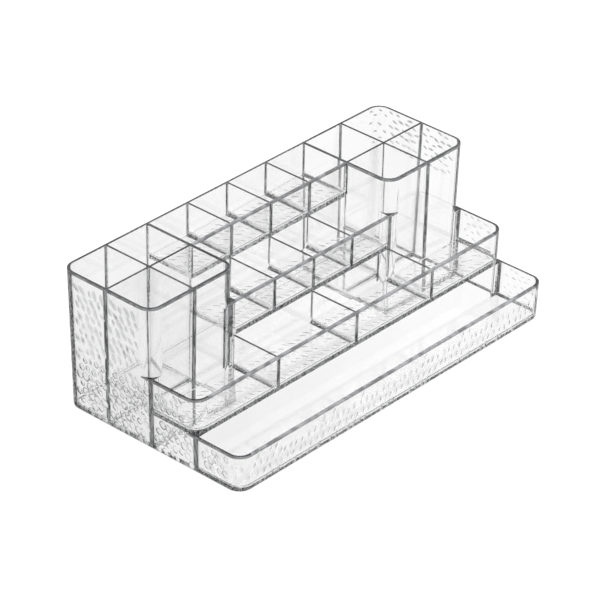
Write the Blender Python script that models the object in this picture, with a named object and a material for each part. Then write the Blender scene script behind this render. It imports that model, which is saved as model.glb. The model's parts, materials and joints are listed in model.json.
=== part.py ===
"""Clear stepped vanity organizer: two deep towers, three raised rows of cells and a long front tray.

Units are metres. +X runs along the length, +Y towards the back, +Z up. The origin is on the
surface that the organizer stands on, at the centre of its outline.

The real article is one clear moulding. Its walls, floors and dividers are built here as
separate solids that meet with a hairline gap, named by what they are.
"""

import math

import bmesh
import bpy

# Overall sizes
CELL_PITCH = 0.041        # from divider to divider along the length
OUTER_CELL = 0.0424       # from a tower's middle divider to the end wall's rim
ROW_DEPTH = 0.0417        # from wall to wall of a raised row, front to back
TRAY_DEPTH = 0.0402       # from wall to wall of the front tray, front to back
TRAY_HEIGHT = 0.0292      # rim of the front tray
ROW_STEP = 0.0277         # from each rim up to the next one

# Walls
WALL = 0.0024             # outer walls, row walls and tower walls
FLOOR = 0.0022            # every floor
DIVIDER_TOP = 0.0015      # a divider is thinner at its top edge
DIVIDER_FOOT = 0.0020
CROSS_TOP = 0.0016        # the towers' crossed dividers are taller, so they taper more
CROSS_FOOT = 0.0024

# Moulding details
CORNER_RADIUS = 0.0110    # upright outer corners
COVE = 0.0030             # rounded foot where a wall meets a floor
COVE_LIP = 0.0004         # thickness left at the top of a cove
FOOT_RADIUS = 0.0015      # outer edge round the foot of a tower, of the third row and of the tray
END_LEAN = 0.0036         # how far an end wall leans outwards over the full height
BACK_LEAN = 0.0017        # how far the back wall leans outwards over the full height
GAP = 0.0003              # clearance between neighbouring solids
OVERRUN = 0.0040          # how far a cutter passes the face it cuts

MODEL = "vanity_organizer"

# Layout of the cells
MIDDLE_CELLS = 4          # cells of each raised row between the towers

# Smoothness of the rounded edges
CORNER_STEPS = 8
COVE_STEPS = 3
FOOT_STEPS = 2

# Heights of the rims, from the front tray to the back
TRAY_RIM = TRAY_HEIGHT
THIRD_RIM = TRAY_RIM + ROW_STEP
SECOND_RIM = THIRD_RIM + ROW_STEP
BACK_RIM = SECOND_RIM + ROW_STEP
PAN = FLOOR + COVE + GAP  # a floor with the coves and ribs that stand on it
STUB = COVE + GAP         # length of the rib that a wall keeps where a divider joins it

# Centre lines of the walls that run along the length
BACK_LINE = (3 * ROW_DEPTH + TRAY_DEPTH) / 2
FIRST_LINE = BACK_LINE - ROW_DEPTH
SECOND_LINE = FIRST_LINE - ROW_DEPTH
THIRD_LINE = SECOND_LINE - ROW_DEPTH
FRONT_LINE = THIRD_LINE - TRAY_DEPTH

# Centre lines of the walls that run front to back: the tower wall that faces the middle,
# the tower's own divider and the end wall's rim
TOWER_LINE = CELL_PITCH * MIDDLE_CELLS / 2
TOWER_MIDDLE = TOWER_LINE + CELL_PITCH
END_LINE = TOWER_MIDDLE + OUTER_CELL
INNER_RADIUS = CORNER_RADIUS - WALL

LEFT, RIGHT = -1, 1
FRONT, BACK = -1, 1


def end_face(z, inset=0.0):
    """Half the length at height z, as the end walls lean outwards, less an inset."""
    return END_LINE + WALL / 2 - END_LEAN * (BACK_RIM - z) / BACK_RIM - inset


def back_face(z, inset=0.0):
    """The back wall's outer face at height z, less an inset."""
    return BACK_LINE + WALL / 2 - BACK_LEAN * (BACK_RIM - z) / BACK_RIM - inset


def front_face(z, inset=0.0):
    """The tray's front outer face at height z, less an inset. It leans like the back wall."""
    return FRONT_LINE - WALL / 2 + BACK_LEAN * (TRAY_RIM - z) / BACK_RIM + inset


def clean_scene():
    """Removes what the file opens with."""
    for obj in list(bpy.data.objects):
        bpy.data.objects.remove(obj)


def new_collection(name):
    """A collection linked to the scene."""
    collection = bpy.data.collections.new(name)
    bpy.context.scene.collection.children.link(collection)
    return collection


def clear_plastic(name):
    """Clear polystyrene, one material for each piece."""
    material = bpy.data.materials.new(name)
    material.use_nodes = True
    shader = material.node_tree.nodes["Principled BSDF"]
    shader.inputs["Base Color"].default_value = (0.94, 0.95, 0.96, 1.0)
    shader.inputs["Roughness"].default_value = 0.05
    shader.inputs["Metallic"].default_value = 0.0
    shader.inputs["IOR"].default_value = 1.59
    shader.inputs["Transmission Weight"].default_value = 0.9
    shader.inputs["Alpha"].default_value = 0.45
    return material


def block(z_low, z_high, outline, rounded=(), foot=None):
    """A block between two heights whose sides lean as its outline says.

    outline(z) gives x_low, x_high, y_low, y_high. rounded holds (radius, corners, steps)
    for upright edges, each corner as (x side, y side). foot is (radius, steps) for
    the edges round the bottom.
    """
    mesh = bmesh.new()
    bmesh.ops.create_cube(mesh, size=1.0)
    corner_of = {}
    for vert in mesh.verts:
        side_x = RIGHT if vert.co.x > 0 else LEFT
        side_y = BACK if vert.co.y > 0 else FRONT
        z = z_high if vert.co.z > 0 else z_low
        x_low, x_high, y_low, y_high = outline(z)
        vert.co = (x_high if side_x == RIGHT else x_low, y_high if side_y == BACK else y_low, z)
        corner_of[vert] = (side_x, side_y)
    groups = []
    for radius, corners, steps in rounded:
        upright = [
            edge for edge in mesh.edges
            if corner_of[edge.verts[0]] == corner_of[edge.verts[1]]
            and corner_of[edge.verts[0]] in corners
        ]
        groups.append((upright, radius, steps))
    for upright, radius, steps in groups:
        bevel(mesh, upright, radius, steps)
    if foot:
        radius, steps = foot
        bevel(mesh, bottom_edges(mesh, z_low), radius, steps)
    bmesh.ops.recalc_face_normals(mesh, faces=mesh.faces)
    return mesh


def bottom_edges(mesh, z_low):
    """The edges that lie in a block's bottom face."""
    near = FOOT_RADIUS / 100
    return [edge for edge in mesh.edges if all(abs(v.co.z - z_low) < near for v in edge.verts)]


def bevel(mesh, edges, radius, steps):
    """Rounds edges to a radius."""
    bmesh.ops.bevel(
        mesh, geom=edges, offset=radius, offset_type="OFFSET", segments=steps,
        profile=0.5, affect="EDGES", clamp_overlap=True,
    )


def core(z_low, z_high, outline, wide=()):
    """The space of one cell, with coves round its foot.

    The wide corners take the inner radius of the outer walls; the others are crisp.
    """
    mesh = block(z_low, z_high, outline, [(INNER_RADIUS, wide, CORNER_STEPS)] if wide else ())
    bevel(mesh, bottom_edges(mesh, z_low), COVE, COVE_STEPS)
    bmesh.ops.recalc_face_normals(mesh, faces=mesh.faces)
    return mesh


def mesh_data(name, mesh):
    """Turns a bmesh into mesh data."""
    data = bpy.data.meshes.new(name)
    mesh.to_mesh(data)
    mesh.free()
    return data


def add_piece(name, data, parts, place=0.0):
    """A named piece of clear plastic, at its place along the length, under the model's empty."""
    if isinstance(data, bmesh.types.BMesh):
        data = mesh_data(name, data)
    obj = bpy.data.objects.new(name, data)
    parts.objects.link(obj)
    obj.parent = bpy.data.objects[MODEL]
    obj.location.x = place
    if not data.materials:
        data.materials.append(None)
    obj.material_slots[0].link = "OBJECT"
    obj.material_slots[0].material = clear_plastic(f"clear polystyrene {name}")
    return obj


def add_cutter(name, mesh, cutters):
    """A hidden object that other pieces are cut with."""
    obj = bpy.data.objects.new(name, mesh_data(name, mesh))
    cutters.objects.link(obj)
    obj.hide_render = True
    obj.display_type = "WIRE"
    return obj


def combine(obj, other, operation="DIFFERENCE"):
    """Cuts, joins or trims an object with another one."""
    modifier = obj.modifiers.new(f"{operation.lower()} {other.name}", "BOOLEAN")
    modifier.operation = operation
    modifier.object = other
    modifier.solver = "EXACT"


def shade(obj):
    """Smooth faces with crisp edges."""
    obj.data.shade_smooth()
    obj.data.set_sharp_from_angle(angle=math.radians(35))


def tower_outline(side, grow=0.0):
    """The outline of a tower's outer faces, for the left or the right tower."""
    inner = TOWER_LINE - WALL / 2 - grow

    def outline(z):
        outer = end_face(z) + grow
        y_low = SECOND_LINE - WALL / 2 - grow
        y_high = back_face(z) + grow
        return (-outer, -inner, y_low, y_high) if side == LEFT else (inner, outer, y_low, y_high)

    return outline


def tower_cavity_outline(side, shrink=0.0):
    """The outline of the inner faces of a tower's walls."""
    inner = TOWER_LINE + WALL / 2 + shrink

    def outline(z):
        outer = end_face(z, WALL + shrink)
        y_low = SECOND_LINE + WALL / 2 + shrink
        y_high = back_face(z, WALL + shrink)
        return (-outer, -inner, y_low, y_high) if side == LEFT else (inner, outer, y_low, y_high)

    return outline


def tower_corners(side):
    """The upright outer corners of a tower that are rounded: all but the one on the back wall."""
    return [(side, BACK), (side, FRONT), (-side, FRONT)]


def tower_block(side, z_low, z_high, grow=0.0, foot=None):
    """A tower as one block with rounded corners."""
    rounded = [(CORNER_RADIUS + grow, tower_corners(side), CORNER_STEPS)]
    return block(z_low, z_high, tower_outline(side, grow), rounded, foot)


def build_tower(side, word, parts, cutters):
    """A tower's shell round its four cells, and the crossed dividers between the cells."""
    foot = (FOOT_RADIUS, FOOT_STEPS)
    shell = add_piece(f"{word}_tower", tower_block(side, 0.0, BACK_RIM, foot=foot), parts)
    long_plate = cross_plate(side, True, PAN + GAP, BACK_RIM, STUB + GAP)
    short_plate = cross_plate(side, False, PAN + GAP, BACK_RIM, STUB + GAP)
    cross = add_piece(f"{word}_tower_cross", long_plate, parts)
    combine(cross, add_cutter(f"{word} tower short plate", short_plate, cutters), "UNION")

    for side_x in (LEFT, RIGHT):
        for side_y in (FRONT, BACK):
            wide = [] if (side_x, side_y) == (-side, BACK) else [(side_x, side_y)]
            cell = add_cutter(
                f"{word} tower cell {side_x} {side_y}",
                core(FLOOR, BACK_RIM + OVERRUN, tower_cell(side, side_x, side_y), wide),
                cutters,
            )
            combine(shell, cell)
            combine(cross, cell)
    for along in (True, False):
        slot = cross_plate(side, along, PAN, BACK_RIM + OVERRUN, STUB)
        combine(shell, add_cutter(f"{word} tower slot {along}", slot, cutters))
    shade(shell)
    shade(cross)


def tower_cell(side, side_x, side_y):
    """The outline of one of a tower's four cells, between its walls and its crossed dividers."""
    walls = tower_cavity_outline(side)
    middle = side * TOWER_MIDDLE

    def outline(z):
        half = taper(z, FLOOR, BACK_RIM, CROSS_FOOT, CROSS_TOP) / 2
        x_low, x_high, y_low, y_high = walls(z)
        if side_x == LEFT:
            x_high = middle - half
        else:
            x_low = middle + half
        if side_y == FRONT:
            y_high = FIRST_LINE - half
        else:
            y_low = FIRST_LINE + half
        return x_low, x_high, y_low, y_high

    return outline


def taper(z, z_low, z_high, foot, top):
    """A thickness at height z, from the foot's to the top's."""
    return foot + (top - foot) * (z - z_low) / (z_high - z_low)


def cross_plate(side, along, z_low, z_high, stub):
    """One of a tower's crossed dividers before the cells shape its faces.

    It ends a stub away from the tower's walls.
    """
    walls = tower_cavity_outline(side, stub)
    half = CROSS_FOOT / 2 + GAP
    middle = side * TOWER_MIDDLE

    def outline(z):
        x_low, x_high, y_low, y_high = walls(z)
        if along:
            return x_low, x_high, FIRST_LINE - half, FIRST_LINE + half
        return middle - half, middle + half, y_low, y_high

    return block(z_low, z_high, outline)


def middle_span(inset=0.0):
    """Half the clear width between the towers, less an inset."""
    return TOWER_LINE - WALL / 2 - inset


def build_back_wall(parts):
    """The back wall between the towers."""
    reach = middle_span(GAP)

    def outline(z):
        return -reach, reach, back_face(z, WALL), back_face(z)

    shade(add_piece("back_wall", block(0.0, BACK_RIM, outline), parts))


def add_floor(name, base, outline, cells, parts, cutters, rounded=()):
    """A row's floor: a plate whose cells are sunk into it with coved feet.

    cells is a list of (cell outline, wide corners).
    """
    plate = add_piece(name, block(base, base + PAN, outline, rounded), parts)
    for number, (cell_outline, wide) in enumerate(cells, 1):
        pan = core(base + FLOOR, base + PAN + OVERRUN, cell_outline, wide)
        combine(plate, add_cutter(f"{name} cell {number}", pan, cutters))
    shade(plate)
    return plate


def add_middle_floor(name, base, y_low, y_back, y_high, parts, cutters):
    """The floor of the first or the second row, which lies between the towers.

    y_low is the face of the row's front wall, y_back the face behind its cells and y_high
    the floor's own back edge, which reaches under the wall behind it.
    """
    reach = middle_span(GAP)
    half = DIVIDER_FOOT / 2
    front = y_low + GAP
    cells = []
    for number in range(MIDDLE_CELLS):
        left = (number - MIDDLE_CELLS / 2) * CELL_PITCH
        x_low = -reach + COVE_LIP if number == 0 else left + half
        x_high = reach - COVE_LIP if number == MIDDLE_CELLS - 1 else left + CELL_PITCH - half
        cells.append((fixed(x_low, x_high, front + COVE_LIP, y_back - COVE_LIP), ()))
    add_floor(name, base, fixed(-reach, reach, front, y_high), cells, parts, cutters)


def fixed(x_low, x_high, y_low, y_high):
    """An outline that is the same at every height."""
    return lambda z: (x_low, x_high, y_low, y_high)


def middle_dividers():
    """Where the dividers of the first and second rows stand along the length."""
    return [(number - MIDDLE_CELLS / 2) * CELL_PITCH for number in range(1, MIDDLE_CELLS)]


def add_dividers(name, places, y_low, y_high, z_low, z_high, parts):
    """A row's dividers: one tapered plate, copied to each place. y_low and y_high may lean."""

    def outline(z):
        half = taper(z, z_low, z_high, DIVIDER_FOOT, DIVIDER_TOP) / 2
        return -half, half, y_low + GAP, y_high(z) - GAP

    plate = mesh_data(name, block(z_low, z_high, outline))
    for number, place in enumerate(places, 1):
        shade(add_piece(f"{name}_{number}", plate, parts, place))


def build_first_row(parts, cutters):
    """The highest row, between the towers at the back."""
    front = FIRST_LINE + WALL / 2
    back = back_face(SECOND_RIM, WALL + GAP)
    add_middle_floor("first_row_floor", SECOND_RIM, front, back, back, parts, cutters)
    reach = middle_span(GAP)
    wall = fixed(-reach, reach, FIRST_LINE - WALL / 2, front)
    add_piece("first_row_wall", block(THIRD_RIM + PAN + GAP, BACK_RIM, wall), parts)
    add_dividers(
        "first_row_divider", middle_dividers(), front, lambda z: back_face(z, WALL),
        SECOND_RIM + PAN + GAP, BACK_RIM, parts,
    )


def build_second_row(towers, parts, cutters):
    """The row in front of the first one, between the towers."""
    front = SECOND_LINE + WALL / 2
    back = FIRST_LINE - WALL / 2
    add_middle_floor(
        "second_row_floor", THIRD_RIM, front, back, FIRST_LINE + WALL / 2, parts, cutters
    )
    # The wall runs on to the towers' rounded corners, which trim its ends to a wedge.
    reach = TOWER_LINE + CORNER_RADIUS
    outline = fixed(-reach, reach, SECOND_LINE - WALL / 2, front)
    wall = add_piece("second_row_wall", block(TRAY_RIM + PAN + GAP, SECOND_RIM, outline), parts)
    for tower in towers:
        combine(wall, tower)
    shade(wall)
    add_dividers(
        "second_row_divider", middle_dividers(), front, lambda z: back,
        THIRD_RIM + PAN + GAP, SECOND_RIM, parts,
    )


def third_outline(z, inset=0.0):
    """The third row's outer faces, from its front to behind the towers' rounded corners."""
    reach = end_face(z, inset)
    return -reach, reach, THIRD_LINE - WALL / 2 + inset, SECOND_LINE - WALL / 2 + CORNER_RADIUS


def build_third_row(towers, parts, cutters):
    """The row in front of the towers, over the whole length: wall, floor and dividers."""
    front_corners = [(LEFT, FRONT), (RIGHT, FRONT)]
    rounded = [(CORNER_RADIUS, front_corners, CORNER_STEPS)]
    foot = (FOOT_RADIUS, FOOT_STEPS)
    outside = block(0.0, THIRD_RIM, third_outline, rounded, foot)
    wall = add_piece("third_row_wall", outside, parts)

    def inside(z):
        x_low, x_high, y_low, y_high = third_outline(z, WALL)
        return x_low, x_high, y_low, y_high + OVERRUN

    hollow = [(INNER_RADIUS, front_corners, CORNER_STEPS)]
    room = block(-OVERRUN, THIRD_RIM + OVERRUN, inside, hollow)
    combine(wall, add_cutter("third row room", room, cutters))
    for tower in towers:
        combine(wall, tower)
    shade(wall)

    build_third_floor(towers, parts, cutters)
    add_dividers(
        "third_row_divider", third_dividers(), THIRD_LINE + WALL / 2,
        lambda z: SECOND_LINE - WALL / 2, TRAY_RIM + PAN + GAP, THIRD_RIM, parts,
    )


def third_dividers():
    """Where the third row's dividers stand along the length."""
    return [-TOWER_LINE, 0.0, TOWER_LINE]


def build_third_floor(towers, parts, cutters):
    """The third row's floor, which also carries the second row's wall."""
    front_corners = [(LEFT, FRONT), (RIGHT, FRONT)]
    front = THIRD_LINE + WALL / 2 + GAP
    back = SECOND_LINE - WALL / 2 - GAP
    half = DIVIDER_FOOT / 2
    lines = third_dividers()

    def plate_outline(z):
        reach = end_face(z, WALL + GAP)
        return -reach, reach, front, SECOND_LINE + WALL / 2

    cells = []
    for number in range(len(lines) + 1):

        def cell(z, number=number):
            reach = end_face(z, WALL + GAP + COVE_LIP)
            x_low = -reach if number == 0 else lines[number - 1] + half
            x_high = reach if number == len(lines) else lines[number] - half
            return x_low, x_high, front + COVE_LIP, back - COVE_LIP

        wide = {0: [(LEFT, FRONT)], len(lines): [(RIGHT, FRONT)]}.get(number, ())
        cells.append((cell, wide))
    rounded = [(INNER_RADIUS - GAP, front_corners, CORNER_STEPS)]
    plate = add_floor("third_row_floor", TRAY_RIM, plate_outline, cells, parts, cutters, rounded)
    for tower in towers:
        combine(plate, tower)


def build_front_tray(parts, cutters):
    """The long tray at the front: its floor, front and ends in one shell, open to the third row."""
    front_corners = [(LEFT, FRONT), (RIGHT, FRONT)]
    seam = THIRD_LINE - WALL / 2
    lip = seam - GAP - COVE_LIP

    def outline(z):
        reach = end_face(z)
        return -reach, reach, front_face(z), seam + CORNER_RADIUS

    def cell(z):
        reach = end_face(z, WALL)
        return -reach, reach, front_face(z, WALL), lip

    def above_lip(z):
        reach = end_face(z, WALL + STUB)
        return -reach, reach, lip - OVERRUN, seam + OVERRUN

    def third_row(z):
        reach = end_face(z) + GAP
        return -reach, reach, seam - GAP, seam + CORNER_RADIUS + OVERRUN

    rounded = [(CORNER_RADIUS, front_corners, CORNER_STEPS)]
    foot = (FOOT_RADIUS, FOOT_STEPS)
    tray = add_piece("front_tray", block(0.0, TRAY_RIM, outline, rounded, foot), parts)
    grown = [(CORNER_RADIUS + GAP, front_corners, CORNER_STEPS)]
    cut = (
        ("tray cell", core(FLOOR, TRAY_RIM + OVERRUN, cell, front_corners)),
        ("tray back", block(PAN, TRAY_RIM + OVERRUN, above_lip)),
        ("third row block", block(-OVERRUN, TRAY_RIM + OVERRUN, third_row, grown)),
    )
    for name, mesh in cut:
        combine(tray, add_cutter(name, mesh, cutters))
    shade(tray)


def main():
    """Builds every piece of the organizer."""
    clean_scene()
    parts = new_collection(MODEL)
    cutters = new_collection("cutters")
    parts.objects.link(bpy.data.objects.new(MODEL, None))
    towers = []
    for side, word in ((LEFT, "left"), (RIGHT, "right")):
        build_tower(side, word, parts, cutters)
        room = tower_block(side, -OVERRUN, BACK_RIM + OVERRUN, grow=GAP)
        towers.append(add_cutter(f"{word} tower block", room, cutters))
    build_back_wall(parts)
    build_first_row(parts, cutters)
    build_second_row(towers, parts, cutters)
    build_third_row(towers, parts, cutters)
    build_front_tray(parts, cutters)


main()
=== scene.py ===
"""Looks of a clear stepped vanity organizer: one injection moulding on a pale studio table.

The moulding is shaped as its tool shapes it. The outer forms of the towers, the rows and the tray
are joined into one solid, the cores of the cells and of the hollow underside are taken out of it,
and rain-drop punches leave their hollows in the outer faces and under the raised floors. Where the
eye looks along a wall or a floor instead of through it, the plastic looks dark, and those narrow
faces get painted shade of their own, the front rims a painted reflection and the drops' hollows
painted shade too.
"""

from __future__ import annotations

import json
import logging
import math
import random
from abc import ABC, abstractmethod
from contextlib import contextmanager
from dataclasses import dataclass, field
from enum import Enum, IntEnum
from typing import Callable, Iterator, Sequence

import bmesh
import bpy
from mathutils import Matrix, Vector
from mathutils.kdtree import KDTree

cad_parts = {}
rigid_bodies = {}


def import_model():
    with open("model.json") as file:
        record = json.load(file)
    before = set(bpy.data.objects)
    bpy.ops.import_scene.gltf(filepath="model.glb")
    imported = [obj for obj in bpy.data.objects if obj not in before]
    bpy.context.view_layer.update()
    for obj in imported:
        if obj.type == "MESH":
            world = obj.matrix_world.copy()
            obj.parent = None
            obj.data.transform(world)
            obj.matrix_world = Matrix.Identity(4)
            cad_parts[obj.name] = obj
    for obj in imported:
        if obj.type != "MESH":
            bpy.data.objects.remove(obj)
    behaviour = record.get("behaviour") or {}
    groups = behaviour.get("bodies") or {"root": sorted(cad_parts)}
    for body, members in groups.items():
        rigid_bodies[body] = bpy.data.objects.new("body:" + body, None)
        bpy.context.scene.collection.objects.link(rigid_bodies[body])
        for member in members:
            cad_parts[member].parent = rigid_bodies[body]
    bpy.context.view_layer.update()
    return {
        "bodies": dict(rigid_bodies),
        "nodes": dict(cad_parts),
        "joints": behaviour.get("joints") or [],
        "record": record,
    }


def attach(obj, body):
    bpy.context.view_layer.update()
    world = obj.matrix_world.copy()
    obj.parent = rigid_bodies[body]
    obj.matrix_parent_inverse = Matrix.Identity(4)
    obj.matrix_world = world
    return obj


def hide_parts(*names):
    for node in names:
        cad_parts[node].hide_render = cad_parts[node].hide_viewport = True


LOG = logging.getLogger("organizer")
MM = 0.001
NEAR = 0.01 * MM  # places closer than this count as the same
CUT = 0.001 * MM  # points this close to a cutting plane lie on it
ANY = (-math.inf, math.inf)

Box = tuple[float, float, float, float]
Outline = Callable[[float], Box]
EdgeTest = Callable[[bmesh.types.BMEdge], bool]
Range = tuple[float, float]
Facing = tuple[float, ...]

# Which way the faces of a strip with painted shade or a painted reflection look, on the plan or in
# space.
FORWARD: Facing = (0.0, -1.0)
BACKWARD: Facing = (0.0, 1.0)
UPWARD: Facing = (0.0, 0.0, 1.0)
OUTLINE_RIGHT: Facing = (0.669, -0.743)  # seen edge on, at a form's right outline
OUTLINE_LEFT: Facing = (-0.669, 0.743)  # seen edge on, at a form's left outline
TO_VIEWER: Facing = (-0.743, -0.669)
FRONT_LEFT: Facing = (-0.7071, -0.7071)
LEFT_COVE: Facing = (-0.5, 0.0, 0.866)  # the middle of a foot's cove, left of its divider

# Normals' heights above which a face counts as level or as sloping.
LEVEL = 0.99
SLOPING = 0.2


class Side(Enum):
    """The two ends of the organizer, as the sign of their place along X."""

    LEFT = -1
    RIGHT = 1

    @property
    def other(self) -> Side:
        """The opposite end."""
        return Side(-self.value)


class Depth(Enum):
    """The front and the back of a block, as the sign of their place along Y."""

    FRONT = -1
    BACK = 1


class Surface(IntEnum):
    """The finishes of the moulding, in the order of its material slots.

    CLEAR is the plastic, with painted shade at grazing angles; PALE_RIM is a painted reflection,
    and all the others are painted shade on narrow faces and in the drops' hollows.
    """

    CLEAR = 0
    RIM_EDGE = 1
    RIM_TOP = 2
    JOINT = 3
    SLAB = 4
    DROP = 5
    FAINT_DROP = 6
    CORNER = 7
    SEAM = 8
    PALE_EDGE = 9
    PALE_RIM = 10
    DASH = 11
    ROUGH = 12


Corner = tuple[Side, Depth]
FRONT_CORNERS: tuple[Corner, ...] = ((Side.LEFT, Depth.FRONT), (Side.RIGHT, Depth.FRONT))


def share(value: float, start: float, end: float) -> float:
    """How far a value lies between two others, from 0 to 1."""
    return (value - start) / (end - start)


@dataclass(frozen=True)
class Sizes:
    """The real sizes that the whole moulding shares, in metres."""

    cell_pitch: float = 41.0 * MM
    outer_cell: float = 42.4 * MM
    row_depth: float = 41.7 * MM
    tray_depth: float = 40.2 * MM
    tray_rim: float = 29.2 * MM
    row_step: float = 27.7 * MM
    wall: float = 2.4 * MM
    floor: float = 2.2 * MM
    divider_top: float = 1.5 * MM
    divider_foot: float = 2.0 * MM
    cross_top: float = 1.6 * MM
    cross_foot: float = 2.4 * MM
    corner_radius: float = 11.0 * MM
    corner_steps: int = 12
    cove: float = 3.0 * MM
    cove_steps: int = 6
    foot_radius: float = 1.5 * MM
    foot_steps: int = 3
    rim_radius: float = 0.4 * MM
    rim_steps: int = 2
    rim_strip: float = 1.7 * MM
    joint: float = 3.0 * MM
    tower_joint: float = 3.8 * MM
    seam: float = 4.6 * MM
    far_seam: float = 2.6 * MM
    slab_edge: float = 3.5 * MM
    base_edge: float = 4.6 * MM
    end_lean: float = 3.6 * MM
    back_lean: float = 1.7 * MM
    hair: float = 0.04 * MM
    overrun: float = 4.0 * MM
    middle_cells: int = 4

    @property
    def third_rim(self) -> float:
        """Height of the third row's rim."""
        return self.tray_rim + self.row_step

    @property
    def second_rim(self) -> float:
        """Height of the second row's rim."""
        return self.third_rim + self.row_step

    @property
    def back_rim(self) -> float:
        """Height of the first row's and the towers' rims."""
        return self.second_rim + self.row_step

    @property
    def back_line(self) -> float:
        """Centre line of the back wall's rim."""
        return (3 * self.row_depth + self.tray_depth) / 2

    @property
    def first_line(self) -> float:
        """Centre line of the first row's front wall."""
        return self.back_line - self.row_depth

    @property
    def second_line(self) -> float:
        """Centre line of the second row's front wall and the towers' front walls."""
        return self.first_line - self.row_depth

    @property
    def third_line(self) -> float:
        """Centre line of the third row's front wall."""
        return self.second_line - self.row_depth

    @property
    def front_line(self) -> float:
        """Centre line of the tray's front rim."""
        return self.third_line - self.tray_depth

    @property
    def tower_line(self) -> float:
        """Centre line of a tower's wall towards the middle."""
        return self.cell_pitch * self.middle_cells / 2

    @property
    def tower_middle(self) -> float:
        """Centre line of a tower's short divider."""
        return self.tower_line + self.cell_pitch

    @property
    def half_wall(self) -> float:
        """From a wall's centre line to its face."""
        return self.wall / 2

    @property
    def tower_face(self) -> float:
        """The face that a tower turns to the middle."""
        return self.tower_line - self.half_wall

    @property
    def skin(self) -> float:
        """Thickness of the range that holds a face."""
        return 4 * self.hair

    @property
    def inner_radius(self) -> float:
        """Radius inside the upright outer corners."""
        return self.corner_radius - self.wall

    @property
    def middle_dividers(self) -> list[float]:
        """Where the dividers of the first two rows stand along the length."""
        return [(n - self.middle_cells / 2) * self.cell_pitch for n in range(1, self.middle_cells)]

    @property
    def third_dividers(self) -> list[float]:
        """Where the third row's dividers stand along the length."""
        return [-self.tower_line, 0.0, self.tower_line]

    def end_face(self, z: float, inset: float = 0.0) -> float:
        """Half the length at a height, less an inset."""
        lean = self.end_lean * (self.back_rim - z) / self.back_rim
        return self.tower_middle + self.outer_cell + self.half_wall - lean - inset

    def end_range(self, side: Side) -> Range:
        """The range along the length that holds an end wall and all beyond it."""
        inner = side.value * self.end_face(0.0, self.wall)
        return (inner, math.inf) if side is Side.RIGHT else (-math.inf, inner)

    def back_face(self, z: float, inset: float = 0.0) -> float:
        """The back wall's outer face at a height, less an inset."""
        lean = self.back_lean * (self.back_rim - z) / self.back_rim
        return self.back_line + self.half_wall - lean - inset

    def front_face(self, z: float, inset: float = 0.0) -> float:
        """The tray's outer front face at a height, less an inset."""
        lean = self.back_lean * (self.tray_rim - z) / self.back_rim
        return self.front_line - self.half_wall + lean + inset

    def divider(self, z: float, z_low: float, z_high: float) -> float:
        """Half the thickness of a row's divider at a height."""
        taper = (self.divider_top - self.divider_foot) * share(z, z_low, z_high)
        return (self.divider_foot + taper) / 2

    def cross(self, z: float) -> float:
        """Half the thickness of a tower's crossed dividers at a height."""
        taper = (self.cross_top - self.cross_foot) * share(z, self.floor, self.back_rim)
        return (self.cross_foot + taper) / 2

    def around(self, line: float, width: float | None = None) -> Range:
        """The range that a joint takes up about its line."""
        half = (self.joint if width is None else width) / 2
        return line - half, line + half


# ---- Bench work: small steps that every sub-assembly uses ----


def deselect() -> None:
    """Leaves no object selected."""
    for obj in bpy.context.selected_objects:
        obj.select_set(False)


def take(obj: bpy.types.Object) -> None:
    """Makes one object the only selected and active one.

    Args:
        obj: The object to work on.
    """
    deselect()
    obj.select_set(True)
    bpy.context.view_layer.objects.active = obj


@contextmanager
def edit_mode(obj: bpy.types.Object, kind: str = "EDGE") -> Iterator[bmesh.types.BMesh]:
    """Opens an object in edit mode with nothing selected, and closes it afterwards.

    Args:
        obj: The mesh object to shape.
        kind: What is selected: VERT, EDGE or FACE.

    Yields:
        The mesh under edit, to select in.
    """
    take(obj)
    bpy.ops.object.mode_set(mode="EDIT")
    bpy.ops.mesh.select_mode(type=kind)
    bpy.ops.mesh.select_all(action="DESELECT")
    yield bmesh.from_edit_mesh(obj.data)
    bpy.ops.object.mode_set(mode="OBJECT")


def add_slots(obj: bpy.types.Object) -> None:
    """Gives an object one slot for each finish, so that a joint or a cut keeps them in order.

    Args:
        obj: A new block or punch, without slots.
    """
    for kind in Surface:
        blank = bpy.data.materials.get(kind.name) or bpy.data.materials.new(kind.name)
        obj.data.materials.append(blank)


def lean_block(name: str, z_low: float, z_high: float, outline: Outline) -> bpy.types.Object:
    """A block whose sides lean as an outline says.

    Args:
        name: The object's name.
        z_low: Height of its bottom.
        z_high: Height of its top.
        outline: Gives x_low, x_high, y_low and y_high at a height.

    Returns:
        The new object, with its place in its mesh.
    """
    deselect()
    bpy.ops.mesh.primitive_cube_add(size=1.0)
    obj = bpy.context.active_object
    obj.name = obj.data.name = name
    for vert in obj.data.vertices:
        z = z_high if vert.co.z > 0 else z_low
        x_low, x_high, y_low, y_high = outline(z)
        vert.co = (x_high if vert.co.x > 0 else x_low, y_high if vert.co.y > 0 else y_low, z)
    add_slots(obj)
    return obj


def round_edges(obj: bpy.types.Object, picked: EdgeTest, radius: float, steps: int) -> None:
    """Rounds the edges that a test picks.

    Args:
        obj: The object to shape.
        picked: Says which edges are rounded.
        radius: The rounding's radius.
        steps: How many faces go round it.
    """
    with edit_mode(obj) as mesh:
        for edge in [edge for edge in mesh.edges if picked(edge)]:
            edge.select_set(True)
        bmesh.update_edit_mesh(obj.data)
        bpy.ops.mesh.bevel(
            offset=radius, offset_type="OFFSET", segments=steps, profile=0.5,
            affect="EDGES", clamp_overlap=True,
        )


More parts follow.
